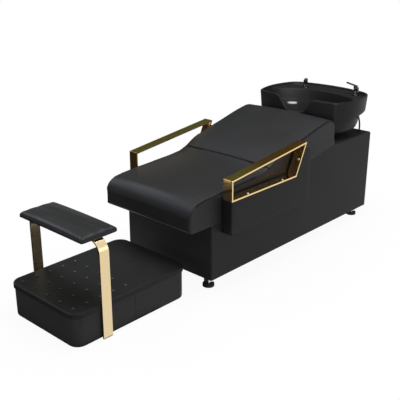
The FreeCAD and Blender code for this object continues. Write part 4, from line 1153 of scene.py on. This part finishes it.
def screw_set(node):
    copy = merged_copy(node, node + "_points")
    seats = [screw_seat(points) for points in islands(copy.data)]
    bpy.data.objects.remove(copy)
    mesh = bpy.data.meshes.new(node + "_set")
    mesh.from_pydata([tuple(place) for place, way in seats], [], [])
    ways = mesh.attributes.new("way", "FLOAT_VECTOR", "POINT")
    ways.data.foreach_set("vector", np.array([way for place, way in seats], dtype=np.float32).ravel())
    obj = placed(node + "_set", mesh)
    grown(obj, pan_screw, {
        "Head Radius": 6.5 * MM, "Head Height": 3.5 * MM, "Socket Radius": 2.6 * MM, "Shank Radius": 3 * MM,
        "Shank Length": 6 * MM if node == "pad_screws" else 14 * MM, "Material": zinc_plate})
    settle(smooth_shaded(obj, 30), node)
    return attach(obj, body_of[node])


for node in ("right_arm_screws", "left_arm_screws", "rear_panel_screws", "pad_screws"):
    made = screw_set(node)
    print(made.name, len(made.data.polygons), "faces")

# %% [markdown]
# ## Stitches
# A plain seam shows its thread only where the valley opens. A second tree runs along the seam lines at an
# even step and lays one short stitch at each stop, turned along the line.


# %% Stitch tree
def stitch_tree():
    length = "NodeSocketFloat"
    graph, given = new_tree("stitch_row", {
        "Pitch": length, "Stitch Length": length, "Thread": length, "Material": "NodeSocketMaterial"})
    row = graph.node("GeometryNodeMeshToCurve", None, {"Mesh": given["Geometry"]})
    stops = graph.node(
        "GeometryNodeResampleCurve", {"mode": "LENGTH"}, {"Curve": row, "Length": given["Pitch"]})
    bead = graph.node("GeometryNodeMeshUVSphere", None, {"Segments": 8, "Rings": 6, "Radius": 0.5})
    size = graph.node("ShaderNodeCombineXYZ", None, {
        "X": given["Stitch Length"], "Y": given["Thread"], "Z": given["Thread"]})
    tangent = graph.node("GeometryNodeInputTangent")
    turn = graph.node("FunctionNodeAlignRotationToVector", {"axis": "X"}, {"Vector": tangent})
    laid = graph.node("GeometryNodeInstanceOnPoints", None, {
        "Points": stops, "Instance": bead, "Rotation": turn, "Scale": size})
    return end_tree(graph, laid, given["Material"])


def thread():
    finish = Finish("black_thread", specular_ior_level=0.3)
    twist = finish.wave("DIAGONAL", 420.0)
    return finish.surface(twist, grey(0.008), grey(0.02), 0.55 + twist * 0.15, twist, 0.3, 0.1 * MM)


stitch_row = stitch_tree()
black_thread = thread()
stitch_pitch, stitch_length, thread_width, row_step = 6 * MM, 4.6 * MM, 0.9 * MM, 3 * MM


def stitched(obj, lines):
    tree = ray_tree(obj.data)
    points, edges = [], []
    for line in lines:
        start = len(points)
        points += [tree.find_nearest(point)[0] for point in evened(line, row_step)]
        edges += [(index, index + 1) for index in range(start, len(points) - 1)]
    mesh = bpy.data.meshes.new(obj.name + "_stitches")
    mesh.from_pydata([tuple(point) for point in points], edges, [])
    row = placed(obj.name + "_stitches", mesh)
    grown(row, stitch_row, {
        "Pitch": stitch_pitch, "Stitch Length": stitch_length, "Thread": thread_width,
        "Material": black_thread})
    smooth_shaded(row, 60)
    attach(row, "chair")
    return row


for obj, lines in ((seat, seat_lines), (back, back_lines)):
    row = stitched(obj, lines)
    print(row.name, len(row.data.polygons), "faces")
